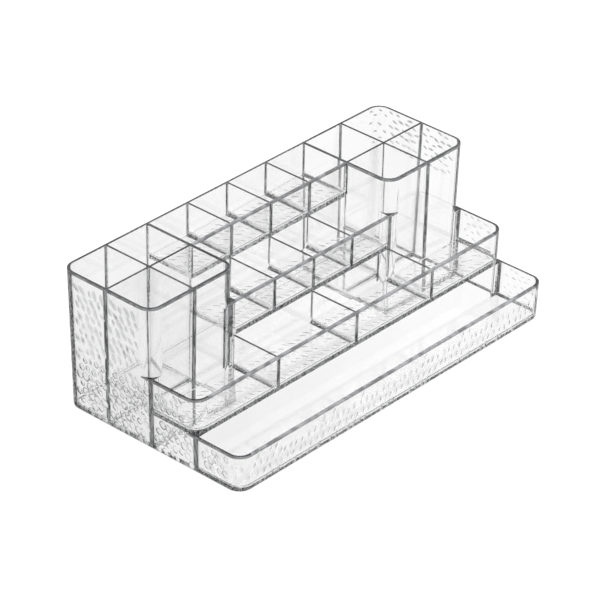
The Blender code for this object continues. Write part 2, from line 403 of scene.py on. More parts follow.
def round_rim(obj: bpy.types.Object, rim: float, sizes: Sizes) -> None:
    """Rounds a form's top edges and gives its top and the strip round it their painted shade.

    Args:
        obj: The form.
        rim: Height of its top.
        sizes: The shared sizes.
    """
    round_edges(obj, lies_at(rim), sizes.rim_radius, sizes.rim_steps)
    foot = rim - sizes.rim_strip
    near_side = 0.4
    with edit_mode(obj, "FACE"):
        bpy.ops.mesh.select_all(action="SELECT")
        bpy.ops.mesh.bisect(plane_co=(0.0, 0.0, foot), plane_no=(0.0, 0.0, 1.0), threshold=CUT)
    # The rim's top and rounding get painted shade, and so does the strip under it where it turns
    # towards -X and -Y, to the viewer.
    for face in obj.data.polygons:
        if face.normal.z > LEVEL:
            face.material_index = Surface.RIM_TOP
        elif face.normal.z > SLOPING:
            face.material_index = Surface.RIM_EDGE
        elif face.center.z > foot and face.normal.x + face.normal.y < -near_side:
            face.material_index = Surface.RIM_EDGE


def upright_at(outline: Outline, z_low: float, corners: Sequence[Corner]) -> EdgeTest:
    """A test for a block's upright edges at some of its corners.

    Args:
        outline: The block's outline.
        z_low: Height of its bottom.
        corners: The corners that are meant.

    Returns:
        The test, for round_edges.
    """
    x_low, x_high, y_low, y_high = outline(z_low)
    feet = [
        (x_low if side is Side.LEFT else x_high, y_low if depth is Depth.FRONT else y_high)
        for side, depth in corners
    ]

    def picked(edge: bmesh.types.BMEdge) -> bool:
        """Tells an upright edge at one of the corners.

        Args:
            edge: The edge.

        Returns:
            True where the edge's foot stands at one of the corners.
        """
        foot, top = sorted((vert.co for vert in edge.verts), key=lambda point: point.z)
        if top.z - foot.z < NEAR or abs(foot.z - z_low) > NEAR:
            return False
        return any(math.dist(foot.xy, corner) < NEAR for corner in feet)

    return picked


def lies_at(height: float) -> EdgeTest:
    """A test for edges that lie at one height."""
    return lambda edge: all(abs(vert.co.z - height) < NEAR for vert in edge.verts)


def boolean(target: bpy.types.Object, tool: bpy.types.Object, operation: str) -> None:
    """Joins a solid to a target or cuts it away, and uses the solid up.

    Args:
        target: The object that is changed.
        tool: The solid that changes it.
        operation: UNION or DIFFERENCE.
    """
    take(target)
    modifier = target.modifiers.new("tool", "BOOLEAN")
    modifier.operation = operation
    modifier.object = tool
    modifier.solver = "MANIFOLD"
    modifier.material_mode = "INDEX"
    bpy.ops.object.modifier_apply(modifier=modifier.name)
    bpy.data.objects.remove(tool)


# ---- Narrow faces that get painted shade or a painted reflection of their own ----


@dataclass(frozen=True)
class Band:
    """A strip on the moulding's faces: where it lies, which way it faces and its finish, painted
    shade on most strips and a painted reflection on the front rims.

    The least cosine says how far a face may turn from the strip's own facing.
    """

    surface: Surface
    facing: Facing
    x: Range = ANY
    y: Range = ANY
    z: Range = ANY
    least: float = 0.9

    def holds(self, face: bmesh.types.BMFace, whole: bool = False) -> bool:
        """Says whether a face reaches into the strip.

        Args:
            face: The face.
            whole: True where the face's middle has to lie inside.

        Returns:
            True for a face that faces the right way and reaches into the strip.
        """
        if sum(a * b for a, b in zip(face.normal, self.facing)) < self.least:
            return False
        if whole:
            middle = face.calc_center_median()
            return all(low < middle[axis] < high for axis, (low, high) in self.ranges())
        for axis, (low, high) in self.ranges():
            places = [vert.co[axis] for vert in face.verts]
            if max(places) < low + NEAR or min(places) > high - NEAR:
                return False
        return True

    def ranges(self) -> Iterator[tuple[int, Range]]:
        """The strip's limits along each axis."""
        return enumerate((self.x, self.y, self.z))

    def crosses(self, face: bmesh.types.BMFace, axis: int, bound: float) -> bool:
        """Says whether one of the strip's limits runs through a face.

        Args:
            face: The face.
            axis: The limit's axis.
            bound: The limit's place along it.

        Returns:
            True for a face that lies on both sides of the limit and reaches into the strip.
        """
        places = [vert.co[axis] for vert in face.verts]
        return min(places) < bound - NEAR and max(places) > bound + NEAR and self.holds(face)

    def paint(self, body: bpy.types.Object) -> None:
        """Cuts the strip's outline into the faces and gives the strip its slot.

        Args:
            body: The moulding.
        """
        with edit_mode(body, "FACE") as mesh:
            for axis, limits in self.ranges():
                normal = [float(number == axis) for number in range(3)]
                for bound in (limit for limit in limits if math.isfinite(limit)):
                    mesh = bmesh.from_edit_mesh(body.data)
                    crossed = [face for face in mesh.faces if self.crosses(face, axis, bound)]
                    if not crossed:
                        continue
                    bpy.ops.mesh.select_all(action="DESELECT")
                    for face in crossed:
                        face.select_set(True)
                    bmesh.update_edit_mesh(body.data)
                    bpy.ops.mesh.bisect(
                        plane_co=[bound * part for part in normal], plane_no=normal, threshold=CUT
                    )
            mesh = bmesh.from_edit_mesh(body.data)
            for face in mesh.faces:
                if self.holds(face, whole=True):
                    face.material_index = self.surface
            bmesh.update_edit_mesh(body.data)


def front_rim(sizes: Sizes, line: float, rim: float, reach: float) -> list[Band]:
    """The top and the outer edge of a front wall's rim, which get a painted reflection, paler than
    the other rims' painted shade.

    Args:
        sizes: The shared sizes.
        line: Centre line of the wall's rim.
        rim: Height of the rim.
        reach: How far it runs to both sides.

    Returns:
        The two strips.
    """
    near = sizes.skin
    face = line - sizes.half_wall
    return [
        Band(
            Surface.PALE_RIM, UPWARD, x=(-reach, reach), y=(face - near, line + sizes.half_wall),
            z=(rim - near, rim + near), least=0.2,
        ),
        Band(
            Surface.PALE_RIM, FORWARD, x=(-reach, reach), y=(face - near, face + near),
            z=(rim - sizes.rim_strip, rim + near),
        ),
    ]


def divider_lines(
    sizes: Sizes, line: float, walls: Range, floor: float, top: float
) -> list[Band]:
    """The lines of painted shade where a row's divider meets the floor and the wall behind it.

    Args:
        sizes: The shared sizes.
        line: The divider's centre line.
        walls: Centre lines of the walls in front and behind.
        floor: Height of the cells' floor.
        top: Height of the rim.

    Returns:
        The line along the foot, on its cove, and the upright line behind the wall.
    """
    front, back = walls
    half = sizes.half_wall
    return [
        Band(
            Surface.SEAM, LEFT_COVE, x=(line - 2 * sizes.cove, line), least=0.96,
            y=(front + half, back - half - sizes.cove), z=(floor - sizes.hair, floor + sizes.cove),
        ),
        Band(
            Surface.JOINT, BACKWARD, x=sizes.around(line, sizes.divider_foot),
            y=sizes.around(back + half, sizes.skin), z=(floor + sizes.cove, top),
        ),
    ]


def silhouette(sizes: Sizes, front: float, span: Range) -> Band:
    """The narrow strip of painted shade at the right that closes a rounded front corner's outline.

    Args:
        sizes: The shared sizes.
        front: Place of the block's front face.
        span: Its heights.

    Returns:
        The strip.
    """
    return Band(
        Surface.CORNER, OUTLINE_RIGHT, x=(sizes.tower_middle, math.inf), z=span, least=0.93,
        y=(front - sizes.hair, front + sizes.corner_radius),
    )


def far_corner(sizes: Sizes, front: float, span: Range, width: float = 2.2 * MM) -> Band:
    """The upright strip of painted shade where a wall ends in the right end wall.

    Args:
        sizes: The shared sizes.
        front: Place of the wall's front face.
        span: Its heights.
        width: Its width on the wall.

    Returns:
        The strip.
    """
    inner = sizes.end_face(span[0], sizes.wall)
    return Band(
        Surface.JOINT, FORWARD, x=(inner - width, math.inf), z=span,
        y=sizes.around(front, sizes.skin),
    )


# ---- Sub-assemblies: each gives its outer form, its cores, its hollows and its bands ----


@dataclass
class Core:
    """The steel core that leaves one cell: coves round its foot, a flare that rounds the rim.

    The mouth widens only towards sides that end in a rim, not towards the walled ones, and the
    foot's back edge stays sharp where the wall behind goes on below the floor.
    """

    name: str
    z_low: float
    rim: float
    outline: Outline
    sizes: Sizes
    wide: Sequence[Corner] = ()
    walled: Sequence[Facing] = ()
    coved_back: bool = True

    def build(self) -> bpy.types.Object:
        """Makes the core as a rounded block.

        Returns:
            The core's object.
        """
        s = self.sizes
        obj = lean_block(self.name, self.z_low, self.rim - s.rim_radius, self.outline)
        if self.wide:
            corners = upright_at(self.outline, self.z_low, self.wide)
            round_edges(obj, corners, s.inner_radius, s.corner_steps)
        foot, back = lies_at(self.z_low), self.outline(self.z_low)[3]

        def coved(edge: bmesh.types.BMEdge) -> bool:
            """True for the foot's edges, less the back one where that stays sharp."""
            behind = all(abs(vert.co.y - back) < NEAR for vert in edge.verts)
            return foot(edge) and (self.coved_back or not behind)

        round_edges(obj, coved, s.cove, s.cove_steps)
        self.flare(obj)
        return obj

    def flare(self, obj: bpy.types.Object) -> None:
        """Widens the core's mouth towards every side that ends in a rim, and gives the rim's inner
        rounding the rim top's painted shade.

        Args:
            obj: The core, up to where the rim's rounding starts.
        """
        s = self.sizes
        with edit_mode(obj, "FACE") as mesh:
            mouth = max(mesh.faces, key=lambda face: face.calc_center_median().z)
            mouth_z = self.rim - s.rim_radius
            spots = [vert.co.xy for vert in mouth.verts]
            moves = self.mitres(spots)
            mouth.select_set(True)
            bmesh.update_edit_mesh(obj.data)
            turns = [(step + 1) * math.pi / 2 / s.rim_steps for step in range(s.rim_steps)]
            rise = [(mouth_z + s.rim_radius * math.sin(t), 1 - math.cos(t)) for t in turns]
            for z, grown in (*rise, (self.rim + s.overrun, 1.0)):
                bpy.ops.mesh.extrude_region_move()
                mesh = bmesh.from_edit_mesh(obj.data)
                for vert in (vert for vert in mesh.verts if vert.select):
                    near = min(range(len(spots)), key=lambda n: (spots[n] - vert.co.xy).length)
                    vert.co.xy = spots[near] + moves[near] * grown * s.rim_radius
                    vert.co.z = z
                bmesh.update_edit_mesh(obj.data)
            mesh = bmesh.from_edit_mesh(obj.data)
            mesh.normal_update()
            for face in mesh.faces:
                above = face.calc_center_median().z > mouth_z
                if above and -LEVEL < face.normal.z < -SLOPING and not self.is_outer(face):
                    face.material_index = Surface.RIM_TOP
            bmesh.update_edit_mesh(obj.data)

    def is_outer(self, face: bmesh.types.BMFace) -> bool:
        """Says whether a face of the flare rounds a rim at the far ends, which stays clear of
        painted shade.

        Args:
            face: The face.

        Returns:
            True beside the right end wall, the back wall and the rounded corner between them.
        """
        s = self.sizes
        middle = face.calc_center_median()
        mouth_z = self.rim - s.rim_radius
        reach, back, close = s.end_face(mouth_z), s.back_face(mouth_z), 1.5 * s.wall
        beside = min(reach - middle.x, back - middle.y) < close
        inside = max(reach - middle.x, back - middle.y) < s.corner_radius
        from_centre = math.hypot(
            middle.x - reach + s.corner_radius, middle.y - back + s.corner_radius
        )
        return beside or (inside and from_centre > s.inner_radius - s.wall)

    def mitres(self, spots: Sequence[Vector]) -> list[Vector]:
        """How far each corner of the mouth moves when its open sides move out by one.

        Args:
            spots: The mouth's corners, in order against the clock.

        Returns:
            One move for each corner.
        """
        same_way, straight = 0.9, 0.01
        moves = []
        for number, spot in enumerate(spots):
            before, after = spots[number - 1], spots[(number + 1) % len(spots)]
            outs = []
            for run in (spot - before, after - spot):
                out = Vector((run.y, -run.x)).normalized()
                shut = any(out.dot(Vector(side)) > same_way for side in self.walled)
                outs.append((out, 0.0 if shut else 1.0))
            (first, go_first), (second, go_second) = outs
            turn = first.cross(second)
            if abs(turn) < straight:
                moves.append(first * go_first)
            else:
                moves.append(Vector((
                    (go_first * second.y - go_second * first.y) / turn,
                    (first.x * go_second - second.x * go_first) / turn,
                )))
        return moves


@dataclass
class SubAssembly(ABC):
    """One part of the moulding, with what it adds to it and what it takes away."""

    sizes: Sizes

    @abstractmethod
    def form(self) -> bpy.types.Object:
        """The part's outer form, as a solid."""

    @abstractmethod
    def cores(self) -> list[bpy.types.Object]:
        """The cores of the part's cells."""

    @abstractmethod
    def bands(self) -> list[Band]:
        """The part's narrow faces that get painted shade or a painted reflection of their own."""

    def hollows(self) -> list[bpy.types.Object]:
        """The hollows under the part: none where it stands on its own floor."""
        return []

    def rounded_block(
        self, name: str, rim: float, outline: Outline, corners: Sequence[Corner]
    ) -> bpy.types.Object:
        """A block from the table up, with round upright corners, a round foot and a rim.

        Args:
            name: The object's name.
            rim: Height of its rim.
            outline: Its sides at a height.
            corners: Which of its upright corners are round.

        Returns:
            The block.
        """
        s = self.sizes
        obj = lean_block(name, 0.0, rim, outline)
        round_edges(obj, upright_at(outline, 0.0, corners), s.corner_radius, s.corner_steps)
        round_edges(obj, lies_at(0.0), s.foot_radius, s.foot_steps)
        round_rim(obj, rim, s)
        return obj


@dataclass
class Tower(SubAssembly):
    """A deep tower at one end, with four cells between crossed dividers."""

    side: Side
    junction: float = 1.4 * MM
    # Where the painted glint lies on the rounded front corner, behind the front face.
    painted_glint: Range = (4.2 * MM, 5.2 * MM)

    def walls(self, inset: float = 0.0) -> Outline:
        """The outline of the tower's outer faces.

        Args:
            inset: How far the outline is moved in.

        Returns:
            The outline.
        """
        s = self.sizes

        def outline(z: float) -> Box:
            """The tower's sides at a height.

            Args:
                z: The height.

            Returns:
                The faces towards the middle, the end, the front and the back.
            """
            inner = s.tower_face + inset
            ends = sorted((self.side.value * inner, self.side.value * s.end_face(z, inset)))
            return (*ends, s.second_line - s.half_wall + inset, s.back_face(z, inset))

        return outline

    def form(self) -> bpy.types.Object:
        """The tower's outer form with its rounded upright corners and foot.

        Returns:
            The solid form.
        """
        corners = (
            (self.side, Depth.BACK), (self.side, Depth.FRONT), (self.side.other, Depth.FRONT)
        )
        name = f"tower_{self.side.name.lower()}"
        return self.rounded_block(name, self.sizes.back_rim, self.walls(), corners)

    def cores(self) -> list[bpy.types.Object]:
        """The cores of the tower's four cells.

        Returns:
            The cores, round at the tower's round corners and square where it joins a row.
        """
        s = self.sizes
        made = []
        for x_side in Side:
            for depth in Depth:
                square = (x_side, depth) == (self.side.other, Depth.BACK)
                made.append(Core(
                    f"tower_cell_{x_side.name}_{depth.name}", s.floor, s.back_rim,
                    self.cell(x_side, depth), s, () if square else ((x_side, depth),),
                ).build())
        return made

    def cell(self, x_side: Side, depth: Depth) -> Outline:
        """The outline of one of the four cells.

        Args:
            x_side: The cell's side of the short divider.
            depth: The cell's side of the long divider.

        Returns:
            The outline.
        """
        s = self.sizes
        walls = self.walls(s.wall)
        middle = self.side.value * s.tower_middle

        def outline(z: float) -> Box:
            """The cell's sides at a height.

            Args:
                z: The height.

            Returns:
                The tower's inner faces, two of them moved to the dividers.
            """
            half = s.cross(z)
            x_low, x_high, y_low, y_high = walls(z)
            if x_side is Side.LEFT:
                x_high = middle - half
            else:
                x_low = middle + half
            if depth is Depth.FRONT:
                y_high = s.first_line - half
            else:
                y_low = s.first_line + half
            return x_low, x_high, y_low, y_high

        return outline

    def bands(self) -> list[Band]:
        """The painted shade on the joints of the crossed dividers and of the rows, and on the
        edges of the floor.

        Returns:
            The strips, with those that only one end shows.
        """
        s = self.sizes
        out = self.side.value
        is_left = self.side is Side.LEFT
        end_x = s.end_range(self.side)
        front = s.second_line - s.half_wall
        back = (s.back_line - s.wall, math.inf)
        middle = s.around(out * s.tower_middle, s.tower_joint)
        inner = s.around(out * s.tower_line, s.wall)
        base = (-s.hair, s.base_edge if is_left else s.foot_radius)
        face = s.around(out * s.tower_face, s.skin)
        high = (s.second_rim + s.wall, s.back_rim - s.rim_strip)
        near, far = s.half_wall, s.half_wall + self.junction
        bands = [
            Band(Surface.JOINT, (out, 0), x=end_x, y=s.around(s.first_line, s.tower_joint)),
            Band(Surface.SEAM, (out, 0), x=end_x, z=(s.floor, s.third_rim - s.rim_radius),
                 y=s.around(s.second_line, s.seam if is_left else s.far_seam)),
            Band(Surface.JOINT, FORWARD, x=middle, y=s.around(front, 2 * s.hair)),
            Band(Surface.JOINT, BACKWARD, x=middle, y=back),
            Band(Surface.JOINT, BACKWARD, x=inner, y=back),
            Band(Surface.SLAB, (out, 0), x=end_x, z=base, least=0.05),
            Band(Surface.JOINT, (-out, 0), x=face, z=high,
                 y=(s.first_line - far, s.first_line - near)),
            Band(Surface.PALE_EDGE, (-out, 0), x=face, z=high,
                 y=(s.first_line + near, s.first_line + far)),
        ]
        return bands + (self.left_corners(front) if is_left else self.right_corners(front))

    def left_corners(self, front: float) -> list[Band]:
        """The painted shade on the outline and the inner front corner that the left tower shows,
        and its painted glint.

        Args:
            front: Place of the tower's front face.

        Returns:
            The upright strips.
        """
        s = self.sizes
        end_x, top = s.end_range(self.side), s.back_rim - s.rim_strip
        glint_low, glint_high = self.painted_glint
        return [
            Band(
                Surface.CORNER, OUTLINE_LEFT, x=end_x, z=(s.base_edge, top), least=0.68,
                y=(s.back_line - s.corner_radius, math.inf),
            ),
            # A painted glint on the faces that turn to the viewer.
            Band(
                Surface.PALE_RIM, TO_VIEWER, x=end_x, z=(s.third_rim, top),
                y=(front + glint_low, front + glint_high),
            ),
            Band(
                Surface.JOINT, OUTLINE_RIGHT, z=(s.second_rim, top), least=0.80,
                x=(-s.tower_line - s.corner_radius, -s.tower_line + s.wall),
                y=(front - s.hair, front + s.corner_radius),
            ),
        ]

    def right_corners(self, front: float) -> list[Band]:
        """The painted shade on the outline of the right tower's front corner and on the corner in
        the row before it.

        Args:
            front: Place of the tower's front face.

        Returns:
            The upright strips.
        """
        s = self.sizes
        return [
            silhouette(s, front, (s.third_rim, s.back_rim - s.rim_strip)),
            far_corner(s, front, (s.tray_rim + s.floor + s.cove, s.third_rim)),
        ]


@dataclass
class MiddleRow(SubAssembly):
    """The first or the second row: a raised step of cells between the towers."""

    name: str
    front: float
    back: float
    rim: float
    under: float
    at_back: bool
    run_in: float = 0.8  # how far the second row enters the towers' corners, in their radius

    def form(self) -> bpy.types.Object:
        """The row's solid step, which runs on into the towers and the row behind.

        Returns:
            The solid form.
        """
        s = self.sizes
        reach = s.tower_line if self.at_back else s.tower_line + self.run_in * s.corner_radius

        def outline(z: float) -> Box:
            """The step's sides at a height."""
            y_high = s.back_face(z, s.hair) if self.at_back else self.back + s.wall
            return -reach, reach, self.front - s.half_wall + s.hair, y_high

        obj = lean_block(self.name, 0.0, self.rim, outline)
        round_rim(obj, self.rim, s)
        return obj

    def cores(self) -> list[bpy.types.Object]:
        """The cores of the row's cells, between its dividers.

        Returns:
            The cores, from the left.
        """
        s = self.sizes
        z_low = self.under + s.floor
        beside = {0: (-1.0, 0.0), s.middle_cells - 1: (1.0, 0.0)}
        made = []
        for number in range(s.middle_cells):
            walled = []
            if not self.at_back:
                walled = [BACKWARD, *([beside[number]] if number in beside else [])]
            made.append(Core(
                f"{self.name}_cell_{number}", z_low, self.rim, self.cell(number, z_low), s,
                walled=walled, coved_back=False,
            ).build())
        return made

    def cell(self, number: int, z_low: float) -> Outline:
        """The outline of one cell.

        Args:
            number: The cell, counted from the left.
            z_low: Height of its floor.

        Returns:
            The outline.
        """
        s = self.sizes
        left = (number - s.middle_cells / 2) * s.cell_pitch

        def outline(z: float) -> Box:
            """The cell's sides at a height.

            Args:
                z: The height.

            Returns:
                The faces of the dividers, or of the towers beside the outer cells.
            """
            half = s.divider(z, z_low, self.rim)
            x_low = -s.tower_face if number == 0 else left + half
            x_high = s.tower_face
            if number < s.middle_cells - 1:
                x_high = left + s.cell_pitch - half
            y_high = s.back_face(z, s.wall) if self.at_back else self.back - s.half_wall
            return x_low, x_high, self.front + s.half_wall, y_high

        return outline

    def hollows(self) -> list[bpy.types.Object]:
        """The hollow under the row's floor.

        Returns:
            One block.
        """
        s = self.sizes

        def outline(z: float) -> Box:
            """The hollow's sides at a height."""
            y_high = s.back_face(z, s.wall) if self.at_back else self.back + s.wall
            return -s.tower_face, s.tower_face, self.front + s.half_wall, y_high

        return [lean_block(f"{self.name}_underside", -s.overrun, self.under, outline)]

    def bands(self) -> list[Band]:
        """The painted shade on the joints of the dividers, the edge of the raised floor and the
        wall's ends, and the painted reflection on the front rim.

        Returns:
            The strips.
        """
        s = self.sizes
        front = s.around(self.front - s.half_wall, s.skin)
        inside = (-s.tower_line + s.half_wall, s.tower_face)
        low, high = self.under + s.floor, self.rim - s.rim_radius
        edge = Surface.PALE_EDGE if self.at_back else Surface.SLAB
        slab = (self.under, self.under + s.slab_edge)
        bands = [Band(edge, FORWARD, x=inside, y=front, z=slab)]
        bands += front_rim(s, self.front, self.rim, inside[1])
        if not self.at_back:
            bands += self.posts(front)
        for line in s.middle_dividers:
            bands.append(Band(Surface.JOINT, FORWARD, x=s.around(line), y=front, z=(low, high)))
            foot_line, back_line = divider_lines(s, line, (self.front, self.back), low, high)
            bands.append(foot_line)
            if self.at_back:
                back_line = Band(
                    Surface.JOINT, BACKWARD, x=s.around(line), y=(s.back_line - s.wall, math.inf),
                    z=(low, high),
                )
            bands.append(back_line)
        return bands

    def posts(self, front: Range) -> list[Band]:
        """The painted shade on the upright edges where the row's wall ends in the towers' rounded
        corners.

        Args:
            front: The range that holds the wall's front face.

        Returns:
            The strips, of which the left ones are wider.
        """
        s = self.sizes
        low, top = s.tray_rim + s.floor + s.cove, self.rim - s.rim_strip
        left, right = -s.tower_line, s.tower_line
        # Each strip's left and right edge, measured from a tower's line, and its heights.
        places = (
            (left, -7.0 * MM, -2.0 * MM, (self.under, top)),
            (left, -7.0 * MM, -5.0 * MM, (low, self.under)),
            (left, -11.6 * MM, -9.4 * MM, (low, top)),
            (right, -1.6 * MM, 2.0 * MM, (low, top)),
            (right, -12.4 * MM, -10.2 * MM, (low, self.under)),
        )
        return [
            Band(Surface.SEAM, FORWARD, x=(line + start, line + end), y=front, z=span)
            for line, start, end, span in places
        ]


@dataclass
class ThirdRow(SubAssembly):
    """The row in front of the towers, over the whole length."""

    def form(self) -> bpy.types.Object:
        """The row's solid step with its rounded front corners.

        Returns:
            The solid form.
        """
        s = self.sizes

        def outline(z: float) -> Box:
            """The step's sides at a height, which run in behind the towers' round corners.

            Args:
                z: The height.

            Returns:
                The two ends, the front and the hidden back.
            """
            reach = s.end_face(z, s.hair)
            y_high = s.second_line - s.half_wall + s.corner_radius + s.wall
            return -reach, reach, s.third_line - s.half_wall, y_high

        return self.rounded_block("third_row", s.third_rim, outline, FRONT_CORNERS)

    def cores(self) -> list[bpy.types.Object]:
        """The cores of the row's four cells.

        Returns:
            The cores, from the left.
        """
        s = self.sizes
        last = len(s.third_dividers)
        wide = {0: FRONT_CORNERS[:1], last: FRONT_CORNERS[1:]}
        z_low = s.tray_rim + s.floor
        return [
            Core(
                f"third_row_cell_{number}", z_low, s.third_rim, self.cell(number, z_low), s,
                wide.get(number, ()), (BACKWARD,), coved_back=False,
            ).build()
            for number in range(last + 1)
        ]

    def cell(self, number: int, z_low: float) -> Outline:
        """The outline of one cell.

        Args:
            number: The cell, counted from the left.
            z_low: Height of its floor.

        Returns:
            The outline.
        """
        s = self.sizes
        lines = s.third_dividers

        def outline(z: float) -> Box:
            """The cell's sides at a height.

            Args:
                z: The height.

            Returns:
                The faces of the dividers, or of the end walls beside the outer cells.
            """
            half = s.divider(z, z_low, s.third_rim)
            reach = s.end_face(z, s.wall)
            x_low = -reach if number == 0 else lines[number - 1] + half
            x_high = reach if number == len(lines) else lines[number] - half
            return x_low, x_high, s.third_line + s.half_wall, s.second_line - s.half_wall

        return outline

    def hollows(self) -> list[bpy.types.Object]:
        """The hollows under the row's floor, in front of the towers and between them.

        Returns:
            The long hollow and the one between the towers.
        """
        s = self.sizes

        def before(z: float) -> Box:
            """The sides of the long hollow at a height."""
            reach = s.end_face(z, s.wall)
            return -reach, reach, s.third_line + s.half_wall, s.second_line - s.half_wall

        def between(z: float) -> Box:
            """The sides of the hollow between the towers at a height."""
            return -s.tower_face, s.tower_face, s.second_line - s.wall, s.second_line + s.wall

        long_one = lean_block("third_row_underside", -s.overrun, s.tray_rim, before)
        feet = upright_at(before, -s.overrun, FRONT_CORNERS)
        round_edges(long_one, feet, s.inner_radius, s.corner_steps)
        return [long_one, lean_block("third_row_between", -s.overrun, s.tray_rim, between)]

    def bands(self) -> list[Band]:
        """The painted shade on the joints of the dividers and of the tray and on the edge of the
        raised floor, and the painted reflection on the front rim.

        Returns:
            The strips.
        """
        s = self.sizes
        face = s.third_line - s.half_wall
        front = s.around(face, 2 * s.hair)
        low, high = s.tray_rim + s.floor, s.third_rim - s.rim_radius
        bands = [
            Band(Surface.JOINT, FORWARD, x=s.around(line), y=front, z=(low, high))
            for line in s.third_dividers
        ]
        for line in s.third_dividers:
            lines = divider_lines(s, line, (s.third_line, s.second_line), low, high)
            bands += lines if line == 0.0 else lines[:1]
        reach = s.end_face(0.0, s.corner_radius)
        slab = (s.tray_rim, s.tray_rim + s.slab_edge)
        bands += [
            Band(
                Surface.SLAB, FRONT_LEFT, x=(-math.inf, -reach), z=slab, least=0.68,
                y=(-math.inf, s.third_line + s.corner_radius),
            ),
            Band(Surface.SLAB, FORWARD, x=(-reach, reach), y=front, z=slab),
        ]
        for side in Side:
            out, end_x = side.value, s.end_range(side)
            width = s.seam if side is Side.LEFT else s.far_seam
            bands += [
                Band(
                    Surface.SEAM, (out, 0), x=end_x, y=s.around(s.third_line, width),
                    z=(s.floor, s.tray_rim - s.rim_radius),
                ),
                Band(
                    Surface.SLAB, (out, 0), x=end_x, z=slab,
                    y=(s.third_line + s.corner_radius, s.second_line - s.half_wall),
                ),
            ]
        bands += [
            silhouette(s, face, (s.tray_rim, s.third_rim - s.rim_strip)),
            far_corner(s, face, (s.floor, s.tray_rim)),
            *front_rim(s, s.third_line, s.third_rim, reach),
        ]
        return bands


@dataclass
class FrontTray(SubAssembly):
    """The long open tray at the front."""

    def form(self) -> bpy.types.Object:
        """The tray's solid step with its rounded front corners and foot.

        Returns:
            The solid form.
        """
        s = self.sizes

        def outline(z: float) -> Box:
            """The step's sides at a height, which run in behind the third row's corners.

            Args:
                z: The height.

            Returns:
                The two ends, the front and the hidden back.
            """
            reach = s.end_face(z, 2 * s.hair)
            y_high = s.third_line - s.half_wall + s.corner_radius + s.wall
            return -reach, reach, s.front_face(z), y_high

        return self.rounded_block("front_tray", s.tray_rim, outline, FRONT_CORNERS)

    def cores(self) -> list[bpy.types.Object]:
        """The core of the tray's one space.

        Returns:
            One core.
        """
        s = self.sizes

        def outline(z: float) -> Box:
            """The space's sides at a height."""
            reach = s.end_face(z, s.wall)
            return -reach, reach, s.front_face(z, s.wall), s.third_line - s.half_wall

        return [Core(
            "tray_cell", s.floor, s.tray_rim, outline, s, FRONT_CORNERS, (BACKWARD,),
            coved_back=False,
        ).build()]

    def bands(self) -> list[Band]:
        """The painted shade on the front edge of the tray's floor and on the outline of its right
        corner, and the painted reflection on its rim.

        Returns:
            The strips.
        """
        s = self.sizes
        front = s.front_face(0.0)
        return [
            Band(
                Surface.SLAB, FORWARD, y=(-math.inf, front + s.wall), z=(-s.hair, s.slab_edge),
                least=0.05,
            ),
            silhouette(s, front - s.wall, (s.slab_edge, s.tray_rim - s.rim_strip)),
            *front_rim(s, s.front_line, s.tray_rim, s.end_face(0.0, s.corner_radius)),
        ]


# ---- Rain texture ----


@dataclass(frozen=True)
class EndTier:
    """One step of an end wall: its front and back lines, its rim and the rim in front."""

    front: float
    back: float
    rim: float
    rim_before: float


@dataclass(frozen=True)
class DropStyle:
    """How the drops of one face lie, and how they differ from the common drop.

    The tilt is their mean lean in degrees, slim scales their width and length, pace the distance
    of their rows and deep their depth.
    """

    tilt: float
    slim: Range = (1.0, 1.0)
    pace: float = 1.0
    deep: float = 1.0


@dataclass(frozen=True)
class Panel:
    """A flat face: its first corner, unit vectors across and along the drops, and its size."""

    origin: Vector
    across: Vector
    along: Vector
    width: float
    height: float


@dataclass(frozen=True)
class RaisedFloor:
    """The underside of a row's floor: its reach, its depth, its height and the dividers above."""

    reach: float
    y_low: float
    y_high: float
    z: float
    lines: Sequence[float]


